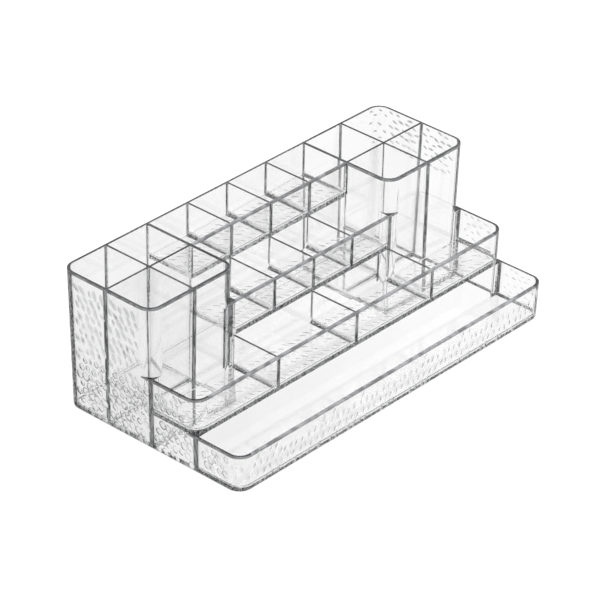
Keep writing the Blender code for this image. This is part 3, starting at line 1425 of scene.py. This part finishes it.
@dataclass
class RainTexture:
    """Drop-shaped hollows, staggered over a face as in hammered rain glass."""

    sizes: Sizes
    across: float = 5.9 * MM
    along: float = 6.8 * MM
    half_width: float = 1.9 * MM
    half_length: float = 3.5 * MM
    depth: float = 0.26 * MM
    dome: float = 0.8 * MM
    sphere_steps: int = 12
    smallest: float = 0.65
    largest: float = 1.2
    stagger: float = 0.25
    jitter: float = 0.18
    swing: float = 18.0
    margin: float = 3.4 * MM
    rim_band: float = 4.4 * MM
    dash_band: float = 2.6 * MM
    joint_gap: float = 2.6 * MM
    slab_gap: float = 3.2 * MM
    right_reach: float = 34.0 * MM
    right_upper: float = 0.7
    rough: float = 46.0 * MM
    rough_size: tuple[float, float, float, float] = (1.6, 0.83, 1.9, 1.0)
    left_end: DropStyle = DropStyle(30.0, (0.95, 1.2))
    right_end: DropStyle = DropStyle(-78.0, (0.5, 0.85), 0.8)
    front_face: DropStyle = DropStyle(-14.0, (0.7, 1.0))
    corner: DropStyle = DropStyle(8.0)
    back_corner: DropStyle = DropStyle(8.0, deep=2.0)
    underside: DropStyle = DropStyle(-42.0, (0.5, 0.85))
    rng: random.Random = field(default_factory=lambda: random.Random(7))

    def punch(self, surface: Surface) -> bpy.types.Object:
        """One drop-shaped punch, lying in the XY plane with its dome towards -Z.

        Args:
            surface: The finish that its hollow gets.

        Returns:
            A closed cap of an ellipsoid, cut off just outside the face that it marks.
        """
        deselect()
        bpy.ops.mesh.primitive_uv_sphere_add(
            segments=self.sphere_steps, ring_count=self.sphere_steps, radius=1.0
        )
        obj = bpy.context.active_object
        rise = (self.dome - self.depth) / self.dome
        widen = 1.0 / math.sqrt(1.0 - rise * rise)
        for vert in obj.data.vertices:
            vert.co = (
                vert.co.x * self.half_width * widen,
                vert.co.y * self.half_length * widen,
                vert.co.z * self.dome + self.dome - self.depth,
            )
        with edit_mode(obj):
            bpy.ops.mesh.select_all(action="SELECT")
            bpy.ops.mesh.bisect(
                plane_co=(0.0, 0.0, self.depth / 2), plane_no=(0.0, 0.0, 1.0),
                clear_outer=True, use_fill=True, threshold=CUT,
            )
        add_slots(obj)
        for face in obj.data.polygons:
            face.material_index = surface
        return obj

    def stamp(
        self, places: Sequence[Matrix], surface: Surface, body: bpy.types.Object
    ) -> None:
        """Punches a body at many places, so that neighbouring hollows may run into each other.

        Args:
            places: Where each drop goes.
            surface: The finish of the hollows.
            body: The moulding.
        """
        punch = self.punch(surface)
        for batch in self.batches(places):
            mesh = bmesh.new()
            for place in batch:
                before = len(mesh.verts)
                mesh.from_mesh(punch.data)
                mesh.verts.ensure_lookup_table()
                bmesh.ops.transform(mesh, matrix=place, verts=mesh.verts[before:])
            cutter = punch.copy()
            cutter.data = punch.data.copy()
            mesh.to_mesh(cutter.data)
            mesh.free()
            bpy.context.scene.collection.objects.link(cutter)
            boolean(body, cutter, "DIFFERENCE")
        bpy.data.objects.remove(punch)

    def batches(self, places: Sequence[Matrix]) -> list[list[Matrix]]:
        """Splits drop places into batches in which no two punches touch.

        Args:
            places: All places.

        Returns:
            The batches.
        """
        apart = 2 * self.half_length * self.largest
        batches: list[list[Matrix]] = []
        for place in places:
            spot = place.translation
            for batch in batches:
                if all((spot - other.translation).length > apart for other in batch):
                    batch.append(place)
                    break
            else:
                batches.append([place])
        return batches

    def fade(self, body: bpy.types.Object, places: Sequence[Matrix]) -> None:
        """Notes at each point how far out in its hollow it lies, for the painted shade to fade
        there.

        Args:
            body: The punched moulding.
            places: The places of all drops.
        """
        tree = KDTree(len(places))
        for number, place in enumerate(places):
            tree.insert(place.translation, number)
        tree.balance()
        back = [place.inverted() for place in places]
        layer = body.data.attributes.new("drop_edge", "FLOAT", "POINT")
        nearest = 4
        for vert in body.data.vertices:
            far = 1.0
            for _, number, _ in tree.find_n(vert.co, nearest):
                spot = back[number] @ vert.co
                far = min(far, math.hypot(spot.x / self.half_width, spot.y / self.half_length))
            layer.data[vert.index].value = far

    def lattice(
        self, width: float, height: float, style: DropStyle
    ) -> Iterator[tuple[float, float, Matrix, Matrix]]:
        """Staggered drop places on a flat panel.

        Args:
            width: The panel's width, across the drops.
            height: The panel's height, along the drops.
            style: How the drops lie.

        Yields:
            A drop's place across and along the panel, its turn and its size.
        """
        columns = max(1, int(width // self.across))
        rows = max(1, int(height // (self.along * style.pace)))
        for row in range(rows):
            shift = self.stagger if row % 2 else -self.stagger
            for column in range(columns):
                u = (column + 0.5 + shift) * width / columns
                v = (row + 0.5) * height / rows
                u += self.rng.uniform(-self.jitter, self.jitter) * self.across
                v += self.rng.uniform(-self.jitter, self.jitter) * self.along
                turn = math.radians(style.tilt + self.rng.uniform(-self.swing, self.swing))
                size = self.rng.uniform(self.smallest, self.largest)
                grown = Matrix.Diagonal(
                    (size * style.slim[0], size * style.slim[1], style.deep, 1.0)
                )
                yield u, v, Matrix.Rotation(turn, 4, "Z"), grown

    def on_plane(
        self, panel: Panel, style: DropStyle, keep: Callable[[Vector], bool]
    ) -> list[Matrix]:
        """Drop places on a flat face.

        Args:
            panel: The face.
            style: How the drops lie.
            keep: Says whether a place is on the face.

        Returns:
            One matrix for each drop, its Z axis out of the face.
        """
        out = panel.across.cross(panel.along)
        frame = Matrix((panel.across, panel.along, out)).transposed().to_4x4()
        places = []
        for u, v, spin, grown in self.lattice(panel.width, panel.height, style):
            point = panel.origin + panel.across * u + panel.along * v
            if keep(point):
                places.append(Matrix.Translation(point) @ frame @ spin @ grown)
        return places

    def tiers(self) -> tuple[EndTier, ...]:
        """The three steps of an end wall.

        Returns:
            The steps, from the tray to the tower.
        """
        s = self.sizes
        return (
            EndTier(s.front_line, s.third_line, s.tray_rim, 0.0),
            EndTier(s.third_line, s.second_line, s.third_rim, s.tray_rim),
            EndTier(s.second_line, s.back_line, s.back_rim, s.third_rim),
        )

    def on_end(self, side: Side) -> list[Matrix]:
        """Drop places on an end wall, on all three steps of it.

        Args:
            side: The end.

        Returns:
            One matrix for each drop.
        """
        s = self.sizes
        y_low, y_high = s.front_face(0.0), s.back_face(0.0)
        foot = Vector((side.value * s.end_face(0.0), y_low, 0.0))
        top = Vector((side.value * s.end_face(s.back_rim), y_low, s.back_rim))
        start = foot if side is Side.RIGHT else foot + Vector((0.0, y_high - y_low, 0.0))

        def keep(point: Vector) -> bool:
            """Says whether a drop is clear of rims, corners, seams, the joint and the slab.

            Args:
                point: The drop's place.

            Returns:
                True on the free part of one of the wall's steps.
            """
            for tier in self.tiers():
                into = point.y - (tier.front - s.half_wall)
                left = tier.back - s.half_wall - point.y
                if into < 0 or left < 0:
                    continue
                raised = point.z > tier.rim_before - self.rim_band
                first = s.corner_radius + self.half_width if raised else 2 * self.half_width
                last = s.corner_radius if tier.rim == s.back_rim else 2 * self.half_width
                joint = tier.rim == s.back_rim and abs(point.y - s.first_line) < self.joint_gap
                above = point.z - (s.tray_rim + s.slab_edge / 2)
                slab = tier.rim == s.third_rim and abs(above) < self.slab_gap
                inside = into > first and left > last and not (joint or slab)
                if side is Side.LEFT:
                    return inside and self.margin < point.z < tier.rim - self.rim_band
                low = max(tier.rim - self.right_reach, self.margin)
                return inside and low < point.z < tier.rim - self.dash_band
            return False

        panel = Panel(
            start, Vector((0.0, side.value, 0.0)), (top - foot).normalized(), y_high - y_low,
            (top - foot).length,
        )
        return self.on_plane(panel, self.left_end if side is Side.LEFT else self.right_end, keep)

    def on_front(self) -> list[Matrix]:
        """Drop places on the tray's front face.

        Returns:
            One matrix for each drop.
        """
        s = self.sizes
        reach = s.end_face(0.0) - s.corner_radius - self.half_width
        foot = Vector((-reach, s.front_face(0.0), 0.0))
        top = Vector((-reach, s.front_face(s.tray_rim), s.tray_rim))

        def keep(point: Vector) -> bool:
            """True where a drop is clear of the rim and the foot."""
            return self.margin < point.z < s.tray_rim - self.rim_band

        panel = Panel(
            foot, Vector((1.0, 0.0, 0.0)), (top - foot).normalized(), 2 * reach,
            (top - foot).length,
        )
        return self.on_plane(panel, self.front_face, keep)

    def on_corner(self, side: Side, depth: Depth) -> list[Matrix]:
        """Drop places round an upright outer corner, at the back or at the tray.

        Args:
            side: The corner's end.
            depth: BACK for a tower's corner, FRONT for one of the tray's.

        Returns:
            One matrix for each drop.
        """
        s = self.sizes
        rim = s.back_rim if depth is Depth.BACK else s.tray_rim
        radius = s.corner_radius
        low, high, style = self.margin, rim - self.rim_band, self.corner
        if depth is Depth.BACK and side is Side.RIGHT:
            low, high, style = rim - self.right_reach, rim - self.dash_band, self.right_end
        elif depth is Depth.BACK:
            style = self.back_corner
        up = Vector((0.0, 0.0, 1.0))
        places = []
        for u, v, spin, grown in self.lattice(radius * math.pi / 2, rim, style):
            if not low < v < high:
                continue
            angle = u / radius
            out = Vector((side.value * math.cos(angle), depth.value * math.sin(angle), 0.0))
            face_y = s.back_face(v) if depth is Depth.BACK else s.front_face(v)
            centre = Vector((
                side.value * (s.end_face(v) - radius), face_y - depth.value * radius, v
            ))
            frame = Matrix((up.cross(out), up, out)).transposed().to_4x4()
            places.append(Matrix.Translation(centre + out * radius) @ frame @ spin @ grown)
        return places

    def under_floor(self, floor: RaisedFloor) -> list[Matrix]:
        """Drop places under a raised floor, clear of the dividers above it.

        Args:
            floor: The floor.

        Returns:
            One matrix for each drop.
        """
        edge = self.half_length

        def keep(point: Vector) -> bool:
            """True where a drop is clear of the dividers."""
            return all(abs(point.x - line) > 2 * self.half_width for line in floor.lines)

        panel = Panel(
            Vector((floor.reach - edge, floor.y_low + edge, floor.z)), Vector((-1.0, 0.0, 0.0)),
            Vector((0.0, 1.0, 0.0)), 2 * (floor.reach - edge),
            floor.y_high - floor.y_low - 2 * edge,
        )
        return self.on_plane(panel, self.underside, keep)

    def floors(self) -> tuple[RaisedFloor, ...]:
        """The undersides of the three rows, from the back.

        Returns:
            The floors.
        """
        s = self.sizes
        return (
            RaisedFloor(
                s.tower_face, s.first_line + s.half_wall, s.back_face(s.second_rim, s.wall),
                s.second_rim, s.middle_dividers,
            ),
            RaisedFloor(
                s.tower_face, s.second_line + s.half_wall, s.first_line - s.half_wall,
                s.third_rim, s.middle_dividers,
            ),
            RaisedFloor(
                s.end_face(0.0, s.wall), s.third_line + s.half_wall, s.second_line - s.half_wall,
                s.tray_rim, s.third_dividers,
            ),
        )

    def apply(self, body: bpy.types.Object) -> int:
        """Punches every textured face of the moulding.

        Args:
            body: The smooth moulding.

        Returns:
            How many drops were punched.
        """
        s = self.sizes
        plain: list[Matrix] = []
        rough: list[Matrix] = []
        corner: list[Matrix] = []
        faint = self.on_front()
        for side in Side:
            faint += self.on_corner(side, Depth.FRONT)
        dashes = self.on_corner(Side.RIGHT, Depth.BACK)
        for drop in self.on_end(Side.RIGHT):
            upper = drop.translation.z > s.back_rim - self.right_upper * self.right_reach
            (dashes if upper else faint).append(drop)
        plain += self.on_end(Side.LEFT)
        for drop in self.on_end(Side.LEFT):
            if drop.translation.z < self.rough:
                rough.append(drop @ Matrix.Diagonal(self.rough_size))
        for drop in self.on_corner(Side.LEFT, Depth.BACK):
            edge_on = abs(drop.translation.x) > s.end_face(0.0, s.wall)
            (corner if edge_on else faint).append(drop)
        for floor in self.floors():
            plain += self.under_floor(floor)
        # Each of these lists' hollows gets its own painted shade.
        every = {
            Surface.DROP: plain, Surface.FAINT_DROP: faint, Surface.DASH: dashes,
            Surface.ROUGH: rough, Surface.CORNER: corner,
        }
        for surface, places in every.items():
            self.stamp(places, surface, body)
        drops = sum(every.values(), [])
        self.fade(body, drops)
        return len(drops)


# ---- The moulding ----


@dataclass
class Moulding:
    """The whole clear moulding, from its outer forms, its cores and its surface."""

    sizes: Sizes
    merge_gap: float = 0.004 * MM
    flat_angle: float = math.radians(0.02)
    smooth_angle: float = math.radians(38)
    piece: bpy.types.Object | None = None

    def parts(self) -> list[SubAssembly]:
        """The sub-assemblies.

        Returns:
            The towers, the three rows and the tray.
        """
        s = self.sizes
        return [
            *(Tower(s, side) for side in Side),
            MiddleRow(s, "first_row", s.first_line, s.back_line, s.back_rim, s.second_rim, True),
            MiddleRow(
                s, "second_row", s.second_line, s.first_line, s.second_rim, s.third_rim, False
            ),
            ThirdRow(s),
            FrontTray(s),
        ]

    def build(self) -> bpy.types.Object:
        """Joins the forms, takes out the cores, paints shade and reflections along the joints and
        rims, and punches the rain texture.

        Returns:
            The finished moulding.
        """
        parts = self.parts()
        body = parts[0].form()
        body.name = body.data.name = "clear_moulding"
        for part in parts[1:]:
            boolean(body, part.form(), "UNION")
        LOG.info("joined %d outer forms", len(parts))
        for part in parts:
            for cutter in (*part.cores(), *part.hollows()):
                boolean(body, cutter, "DIFFERENCE")
            LOG.info("took out the cores of %s", type(part).__name__)
        self.merge(body)
        for part in parts:
            for band in part.bands():
                band.paint(body)
        LOG.info("marked joints: %d faces", len(body.data.polygons))
        drops = RainTexture(self.sizes).apply(body)
        LOG.info("punched %d rain drops: %d faces", drops, len(body.data.polygons))
        self.piece = body
        return body

    def merge(self, body: bpy.types.Object) -> None:
        """Merges the points that the cuts left almost together.

        Args:
            body: The moulding.
        """
        with edit_mode(body):
            bpy.ops.mesh.select_all(action="SELECT")
            bpy.ops.mesh.remove_doubles(threshold=self.merge_gap)
            bpy.ops.mesh.dissolve_limited(
                angle_limit=self.flat_angle, delimit={"NORMAL", "MATERIAL"}
            )

    def dress(self, finishes: dict[Surface, Polystyrene]) -> None:
        """Gives the moulding its finishes and its shading.

        Args:
            finishes: The finish of each kind of face.
        """
        body = self.piece
        for kind in Surface:
            body.material_slots[kind].material = finishes[kind].material()
            bpy.data.materials.remove(bpy.data.materials[kind.name])
        take(body)
        bpy.ops.object.shade_smooth_by_angle(angle=self.smooth_angle)
        modifier = body.modifiers.new("flat faces stay flat", "WEIGHTED_NORMAL")
        modifier.keep_sharp = True
        bpy.ops.object.modifier_apply(modifier=modifier.name)

    def place(self, nodes: Sequence[str]) -> None:
        """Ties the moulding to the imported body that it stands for.

        Args:
            nodes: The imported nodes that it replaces.
        """
        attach(self.piece, "root")
        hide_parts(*nodes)


# ---- Finishes: the clear plastic, with painted shade and painted reflections ----


# The numbers of a Mix node's colour sockets.
MIX_A, MIX_B, MIXED = 6, 7, 2


def linear(value: str) -> tuple[float, float, float, float]:
    """Turns an sRGB hex value to a linear colour with full alpha.

    Args:
        value: Six hex digits.

    Returns:
        The linear colour.
    """
    parts = [int(value[i:i + 2], 16) / 255 for i in (0, 2, 4)]
    turned = [p / 12.92 if p <= 0.04045 else ((p + 0.055) / 1.055) ** 2.4 for p in parts]
    return (*turned, 1.0)


def add_node(
    tree: bpy.types.NodeTree,
    kind: str,
    settings: dict[str, object] | None = None,
    inputs: dict[str | int, object] | None = None,
    links: dict[str | int, bpy.types.NodeSocket] | None = None,
) -> bpy.types.Node:
    """Adds a node with its settings and links.

    Args:
        tree: The node tree.
        kind: The node's type name.
        settings: Attributes of the node.
        inputs: Values for its input sockets.
        links: Output sockets that feed its input sockets.

    Returns:
        The new node.
    """
    node = tree.nodes.new(kind)
    for name, value in (settings or {}).items():
        setattr(node, name, value)
    for name, value in (inputs or {}).items():
        node.inputs[name].default_value = value
    for name, source in (links or {}).items():
        tree.links.new(source, node.inputs[name])
    return node


def new_tree(name: str) -> tuple[bpy.types.Material, bpy.types.NodeTree]:
    """Makes a new material with an empty node tree.

    Args:
        name: The material's name.

    Returns:
        The material and its tree.
    """
    made = bpy.data.materials.new(name)
    made.use_nodes = True
    made.node_tree.nodes.clear()
    return made, made.node_tree


def set_ramp(node: bpy.types.Node, stops: Sequence[tuple[float, str]]) -> None:
    """Sets a colour ramp's stops.

    Args:
        node: The ramp.
        stops: Places and sRGB colours, in order.
    """
    elements = node.color_ramp.elements
    while len(elements) < len(stops):
        elements.new(1.0)
    for element, (place, colour) in zip(elements, stops):
        element.position = place
        element.color = linear(colour)


@dataclass(frozen=True)
class Polystyrene(ABC):
    """General-purpose polystyrene, injection moulded: clear all through, with a faint smoke.

    The smoke greys what is seen through a long way of plastic, as in the walls seen edge on.
    """

    smoke: str = field(default="B4B6B8", kw_only=True)
    index: float = field(default=1.59, kw_only=True)
    density: float = field(default=2.5, kw_only=True)

    @abstractmethod
    def material(self) -> bpy.types.Material:
        """Makes the material."""

    def mould(
        self, tree: bpy.types.NodeTree, colour: bpy.types.NodeSocket, clarity: float
    ) -> None:
        """Ends a material's tree in the moulded plastic.

        Args:
            tree: The node tree.
            colour: The surface's colour.
            clarity: How much of the light goes on through the surface.
        """
        shader = add_node(
            tree, "ShaderNodeBsdfPrincipled",
            inputs={"Roughness": 0.0, "IOR": self.index, "Transmission Weight": clarity},
            links={"Base Color": colour},
        )
        volume = add_node(
            tree, "ShaderNodeVolumeAbsorption",
            inputs={"Color": linear(self.smoke), "Density": self.density},
        )
        add_node(
            tree, "ShaderNodeOutputMaterial",
            links={"Surface": shader.outputs[0], "Volume": volume.outputs[0]},
        )


@dataclass(frozen=True)
class ClearPolystyrene(Polystyrene):
    """Clear polystyrene with the polish of its tool.

    It shows what is behind it, with faint flow marks as wide as a cell's wall is high, and
    painted shade where a curved wall is seen at a grazing angle, for the light's long way there.
    """

    body: str = "FFFFFF"
    flow: str = "FDFDFD"
    grazing_shade: str = "6E7073"
    flow_size: float = 30.0 * MM
    flow_spread: Range = (0.35, 0.65)
    grazing_shade_spread: Range = (0.68, 0.92)

    def material(self) -> bpy.types.Material:
        """Makes the material.

        Returns:
            The material.
        """
        made, tree = new_tree("clear polystyrene, moulded and polished")
        where = add_node(tree, "ShaderNodeTexCoord")
        marks = add_node(
            tree, "ShaderNodeTexNoise", inputs={"Scale": 1 / self.flow_size, "Detail": 2.0},
            links={"Vector": where.outputs["Object"]},
        )
        flow = add_node(tree, "ShaderNodeValToRGB", links={0: marks.outputs[0]})
        set_ramp(flow, tuple(zip(self.flow_spread, (self.body, self.flow))))
        # Painted shade: the colour darkens towards grazing angles.
        weight = add_node(tree, "ShaderNodeLayerWeight", inputs={"Blend": 0.5})
        grazing_shade = add_node(tree, "ShaderNodeValToRGB", links={0: weight.outputs["Facing"]})
        set_ramp(grazing_shade, tuple(zip(self.grazing_shade_spread, (self.body, self.grazing_shade))))
        colour = add_node(
            tree, "ShaderNodeMix", {"data_type": "RGBA", "blend_type": "MULTIPLY"},
            {"Factor": 1.0}, {MIX_A: flow.outputs[0], MIX_B: grazing_shade.outputs[0]},
        )
        self.mould(tree, colour.outputs[MIXED], 1.0)
        return made


@dataclass(frozen=True)
class PaintedShadeAndReflection(Polystyrene):
    """The same polystyrene with painted shade where the eye looks along a wall, so that little
    light comes back, and with a painted reflection on the front rims.

    It is mottled between two painted tones at the mottle's size, which is the real size of the
    ripple of light there, and may fade to clear across a drop's hollow.
    """

    name: str
    deep: str
    light: str
    mottle_size: float
    clarity: float = 1.0
    spread: Range = (0.40, 0.60)
    stretch: float = 1.0
    fades: Range | None = None
    clear: str = "FFFFFF"

    def faded(self, tree: bpy.types.NodeTree, painted_tone: bpy.types.NodeSocket) -> bpy.types.NodeSocket:
        """Lets the painted shade fade to clear across a drop's hollow.

        Args:
            tree: The node tree.
            painted_tone: The painted tone's socket.

        Returns:
            The faded colour's socket.
        """
        edge = add_node(tree, "ShaderNodeAttribute", {"attribute_name": "drop_edge"})
        out = add_node(
            tree, "ShaderNodeMapRange", {"interpolation_type": "SMOOTHSTEP"},
            {"From Min": self.fades[0], "From Max": self.fades[1]}, {"Value": edge.outputs["Fac"]},
        )
        mixed = add_node(
            tree, "ShaderNodeMix", {"data_type": "RGBA"}, {MIX_B: linear(self.clear)},
            {"Factor": out.outputs[0], MIX_A: painted_tone},
        )
        return mixed.outputs[MIXED]

    def material(self) -> bpy.types.Material:
        """Makes the material.

        Returns:
            The material.
        """
        made, tree = new_tree(f"clear polystyrene, {self.name}")
        where = add_node(tree, "ShaderNodeTexCoord")
        drawn = add_node(
            tree, "ShaderNodeMapping", inputs={"Scale": (1.0, 1.0, 1 / self.stretch)},
            links={"Vector": where.outputs["Object"]},
        )
        mottle = add_node(
            tree, "ShaderNodeTexNoise", inputs={"Scale": 1 / self.mottle_size, "Detail": 1.0},
            links={"Vector": drawn.outputs[0]},
        )
        painted_tone = add_node(tree, "ShaderNodeValToRGB", links={0: mottle.outputs[0]})
        set_ramp(painted_tone, tuple(zip(self.spread, (self.deep, self.light))))
        colour = self.faded(tree, painted_tone.outputs[0]) if self.fades else painted_tone.outputs[0]
        self.mould(tree, colour, self.clarity)
        return made


FINISHES: dict[Surface, Polystyrene] = {
    # The broad faces: polished by the tool, seen through, with painted shade at grazing angles.
    Surface.CLEAR: ClearPolystyrene(),
    # The rounded outer edge of a rim and the strip under it: painted shade, mid grey, soft.
    Surface.RIM_EDGE: PaintedShadeAndReflection("outer edge of a rim", "5A5B5D", "8A8B8D", 6.0 * MM, 0.5),
    # The top of a rim looks down the whole wall: painted shade, nearly black, in long soft
    # patches.
    Surface.RIM_TOP: PaintedShadeAndReflection("rim top", "121314", "47484B", 40.0 * MM, 0.25, (0.42, 0.60)),
    # Where one wall ends on another, light is lost in the corner: painted shade in dark streaks
    # along the joint.
    Surface.JOINT: PaintedShadeAndReflection("wall joint", "1C1D1E", "8A8B8D", 2.0 * MM, 0.6, stretch=5.0),
    # The edge of a floor behind a wall: painted shade, dark, in patches as fine as the floor is
    # thick.
    Surface.SLAB: PaintedShadeAndReflection("floor edge", "1C1D1E", "98999B", 2.0 * MM, 0.5),
    # The same painted shade, in the shade of the first row: broken up by white gaps.
    Surface.PALE_EDGE: PaintedShadeAndReflection("pale edge", "3A3B3C", "DCDDDF", 1.3 * MM, 0.6),
    # A front wall's rim gets a painted reflection of the table: light grey.
    Surface.PALE_RIM: PaintedShadeAndReflection("pale rim of a front wall", "6C6D70", "A9AAAD", 9.0 * MM, 0.4),
    # An upright corner seen edge on: painted shade in black and white flecks of the drops round
    # it.
    Surface.CORNER: PaintedShadeAndReflection(
        "upright corner", "050506", "9A9B9D", 1.7 * MM, 0.35, (0.46, 0.60), stretch=1.6
    ),
    # Where a step's wall runs on inside an end wall: softer painted shade than at a joint.
    Surface.SEAM: PaintedShadeAndReflection("wall seam", "3A3B3C", "7C7D7F", 2.0 * MM, 0.45, stretch=4.0),
    # Painted shade for the light that a drop's hollow bends: some are grey in the middle, most are
    # nearly clear.
    Surface.DROP: PaintedShadeAndReflection(
        "rain drop hollow", "6C6D6F", "EBECED", 7.0 * MM, 1.0, (0.30, 0.45), fades=(0.1, 0.9)
    ),
    # The same painted shade, fainter where more light comes from behind.
    Surface.FAINT_DROP: PaintedShadeAndReflection(
        "faint rain drop hollow", "9A9B9D", "F2F2F3", 7.0 * MM, 1.0, (0.32, 0.46),
        fades=(0.1, 0.9),
    ),
    # The slim drops high on the right end: painted shade in short grey dashes.
    Surface.DASH: PaintedShadeAndReflection(
        "rain dash hollow", "66676A", "C4C5C7", 5.0 * MM, 1.0, (0.40, 0.60), fades=(0.2, 0.95)
    ),
    # The wide drops low on the left end: clear in the middle, with painted shade in dark broken
    # rings.
    Surface.ROUGH: PaintedShadeAndReflection(
        "rough drop hollow", "2A2B2D", "B4B5B7", 4.0 * MM, 1.0, (0.42, 0.62), fades=(0.95, 0.45)
    ),
}


@dataclass(frozen=True)
class StudioTable:
    """A matt white acrylic table, evenly lit from below.

    The eye sees it white with a faint shadow under what stands on it. The clear walls show it with
    painted shade, a little darker towards the left.
    """

    colour: str = "FFFFFF"
    paint: str = "9A9A9A"
    glow: float = 0.80
    # Painted shade: how brightly the table glows when seen through the walls, from the left to the
    # right.
    behind_left: float = 0.88
    behind_right: float = 0.99
    reach: float = 150.0 * MM

    def material(self) -> bpy.types.Material:
        """Makes the table's material.

        Returns:
            The material.
        """
        made, tree = new_tree("matt white acrylic table")
        ray = add_node(tree, "ShaderNodeLightPath")
        through = add_node(
            tree, "ShaderNodeMath", {"operation": "MAXIMUM"},
            links={0: ray.outputs["Is Transmission Ray"], 1: ray.outputs["Is Glossy Ray"]},
        )
        lit = add_node(
            tree, "ShaderNodeMath", {"operation": "MULTIPLY"}, {1: self.glow},
            {0: ray.outputs["Is Camera Ray"]},
        )
        plain, even = (
            add_node(tree, "ShaderNodeEmission", inputs={"Color": linear(self.colour)})
            for _ in range(2)
        )
        tree.links.new(lit.outputs[0], plain.inputs["Strength"])
        where = add_node(tree, "ShaderNodeTexCoord")
        parts = add_node(tree, "ShaderNodeSeparateXYZ", links={0: where.outputs["Object"]})
        graded = add_node(
            tree, "ShaderNodeMapRange", {"interpolation_type": "SMOOTHSTEP"},
            {"From Min": -self.reach, "From Max": self.reach, "To Min": self.behind_left,
             "To Max": self.behind_right},
            {"Value": parts.outputs["X"]},
        )
        tree.links.new(graded.outputs[0], even.inputs["Strength"])
        paint = add_node(tree, "ShaderNodeBsdfDiffuse", inputs={"Color": linear(self.paint)})
        seen = add_node(
            tree, "ShaderNodeAddShader", links={0: plain.outputs[0], 1: paint.outputs[0]}
        )
        both = add_node(
            tree, "ShaderNodeMixShader",
            links={0: through.outputs[0], 1: seen.outputs[0], 2: even.outputs[0]},
        )
        add_node(tree, "ShaderNodeOutputMaterial", links={"Surface": both.outputs[0]})
        return made


# ---- Studio ----


@dataclass(frozen=True)
class Softbox:
    """A square soft box that hangs at a place and shines on the organizer.

    It isn't seen through the clear walls, which show only the table and the room.
    """

    name: str
    place: tuple[float, float, float]
    watts: float
    size: float = 0.9

    def hang(self) -> None:
        """Adds the lamp."""
        data = bpy.data.lights.new(self.name, "AREA")
        data.shape, data.size, data.energy = "SQUARE", self.size, self.watts
        obj = bpy.data.objects.new(self.name, data)
        obj.location = self.place
        obj.rotation_euler = (-Vector(self.place)).to_track_quat("-Z", "Y").to_euler()
        obj.visible_transmission = False
        bpy.context.scene.collection.objects.link(obj)


@dataclass
class Studio:
    """Table, soft light, room and the camera at the photograph's viewing angle.

    Light that is caught inside the walls meets their faces many times before it gets out, so the
    light paths are long.
    """

    eye: Vector = field(default_factory=lambda: Vector((-1.64255, -1.42573, 1.37687)))
    right: Vector = field(default_factory=lambda: Vector((0.66890, -0.74297, 0.02384)))
    up: Vector = field(default_factory=lambda: Vector((0.37390, 0.36400, 0.85305)))
    focal: float = 214.95
    film_width: float = 36.0
    table_size: float = 12.0
    table_drop: float = 0.05 * MM
    softboxes: tuple[Softbox, ...] = (
        Softbox("key_softbox", (-0.6, -0.3, 1.3), 9.0),
        Softbox("fill_softbox", (1.0, -1.1, 1.2), 6.0),
    )
    room_low: str = "F4F4F4"
    room_high: str = "DCDCDD"
    room_top: float = 0.6
    seen: str = "FFFFFF"
    bounces: int = 128
    glass_bounces: int = 96

    def build(self) -> None:
        """Sets up the whole studio."""
        self.camera()
        self.table()
        for softbox in self.softboxes:
            softbox.hang()
        self.room()
        bpy.context.scene.view_settings.view_transform = "Standard"
        cycles = bpy.context.scene.cycles
        cycles.max_bounces = self.bounces
        cycles.transmission_bounces = cycles.glossy_bounces = self.glass_bounces

    def camera(self) -> None:
        """Puts the camera where the photograph was taken from."""
        data = bpy.data.cameras.new("camera")
        data.lens, data.sensor_width = self.focal, self.film_width
        obj = bpy.data.objects.new("camera", data)
        bpy.context.scene.collection.objects.link(obj)
        turn = Matrix((self.right, self.up, self.right.cross(self.up))).transposed().to_4x4()
        obj.matrix_world = Matrix.Translation(self.eye) @ turn
        bpy.context.scene.camera = obj

    def table(self) -> None:
        """Adds the table that the organizer stands on."""
        deselect()
        bpy.ops.mesh.primitive_plane_add(
            size=self.table_size, location=(0.0, 0.0, -self.table_drop)
        )
        table = bpy.context.active_object
        table.name = "studio_table"
        table.data.materials.append(StudioTable().material())

    def room(self) -> None:
        """Makes the room: white low down, greyer towards the ceiling, white to the eye."""
        world = bpy.data.worlds.new("studio room")
        bpy.context.scene.world = world
        world.use_nodes = True
        tree = world.node_tree
        tree.nodes.clear()
        where = add_node(tree, "ShaderNodeTexCoord")
        parts = add_node(tree, "ShaderNodeSeparateXYZ", links={0: where.outputs["Generated"]})
        ramp = add_node(tree, "ShaderNodeValToRGB", links={0: parts.outputs["Z"]})
        set_ramp(ramp, ((0.0, self.room_low), (self.room_top, self.room_high)))
        room = add_node(tree, "ShaderNodeBackground", links={"Color": ramp.outputs[0]})
        white = add_node(tree, "ShaderNodeBackground", inputs={"Color": linear(self.seen)})
        ray = add_node(tree, "ShaderNodeLightPath")
        mix = add_node(
            tree, "ShaderNodeMixShader",
            links={0: ray.outputs["Is Camera Ray"], 1: room.outputs[0], 2: white.outputs[0]},
        )
        add_node(tree, "ShaderNodeOutputWorld", links={"Surface": mix.outputs[0]})


def main() -> None:
    """Builds and dresses the organizer, then sets up the studio."""
    logging.basicConfig(level=logging.INFO, format="%(relativeCreated)d %(name)s: %(message)s")
    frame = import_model()
    moulding = Moulding(Sizes())
    moulding.build()
    moulding.dress(FINISHES)
    moulding.place(sorted(frame["nodes"]))
    LOG.info("dressed %s", moulding.piece.name)
    Studio().build()


if __name__ == "__main__":
    main()
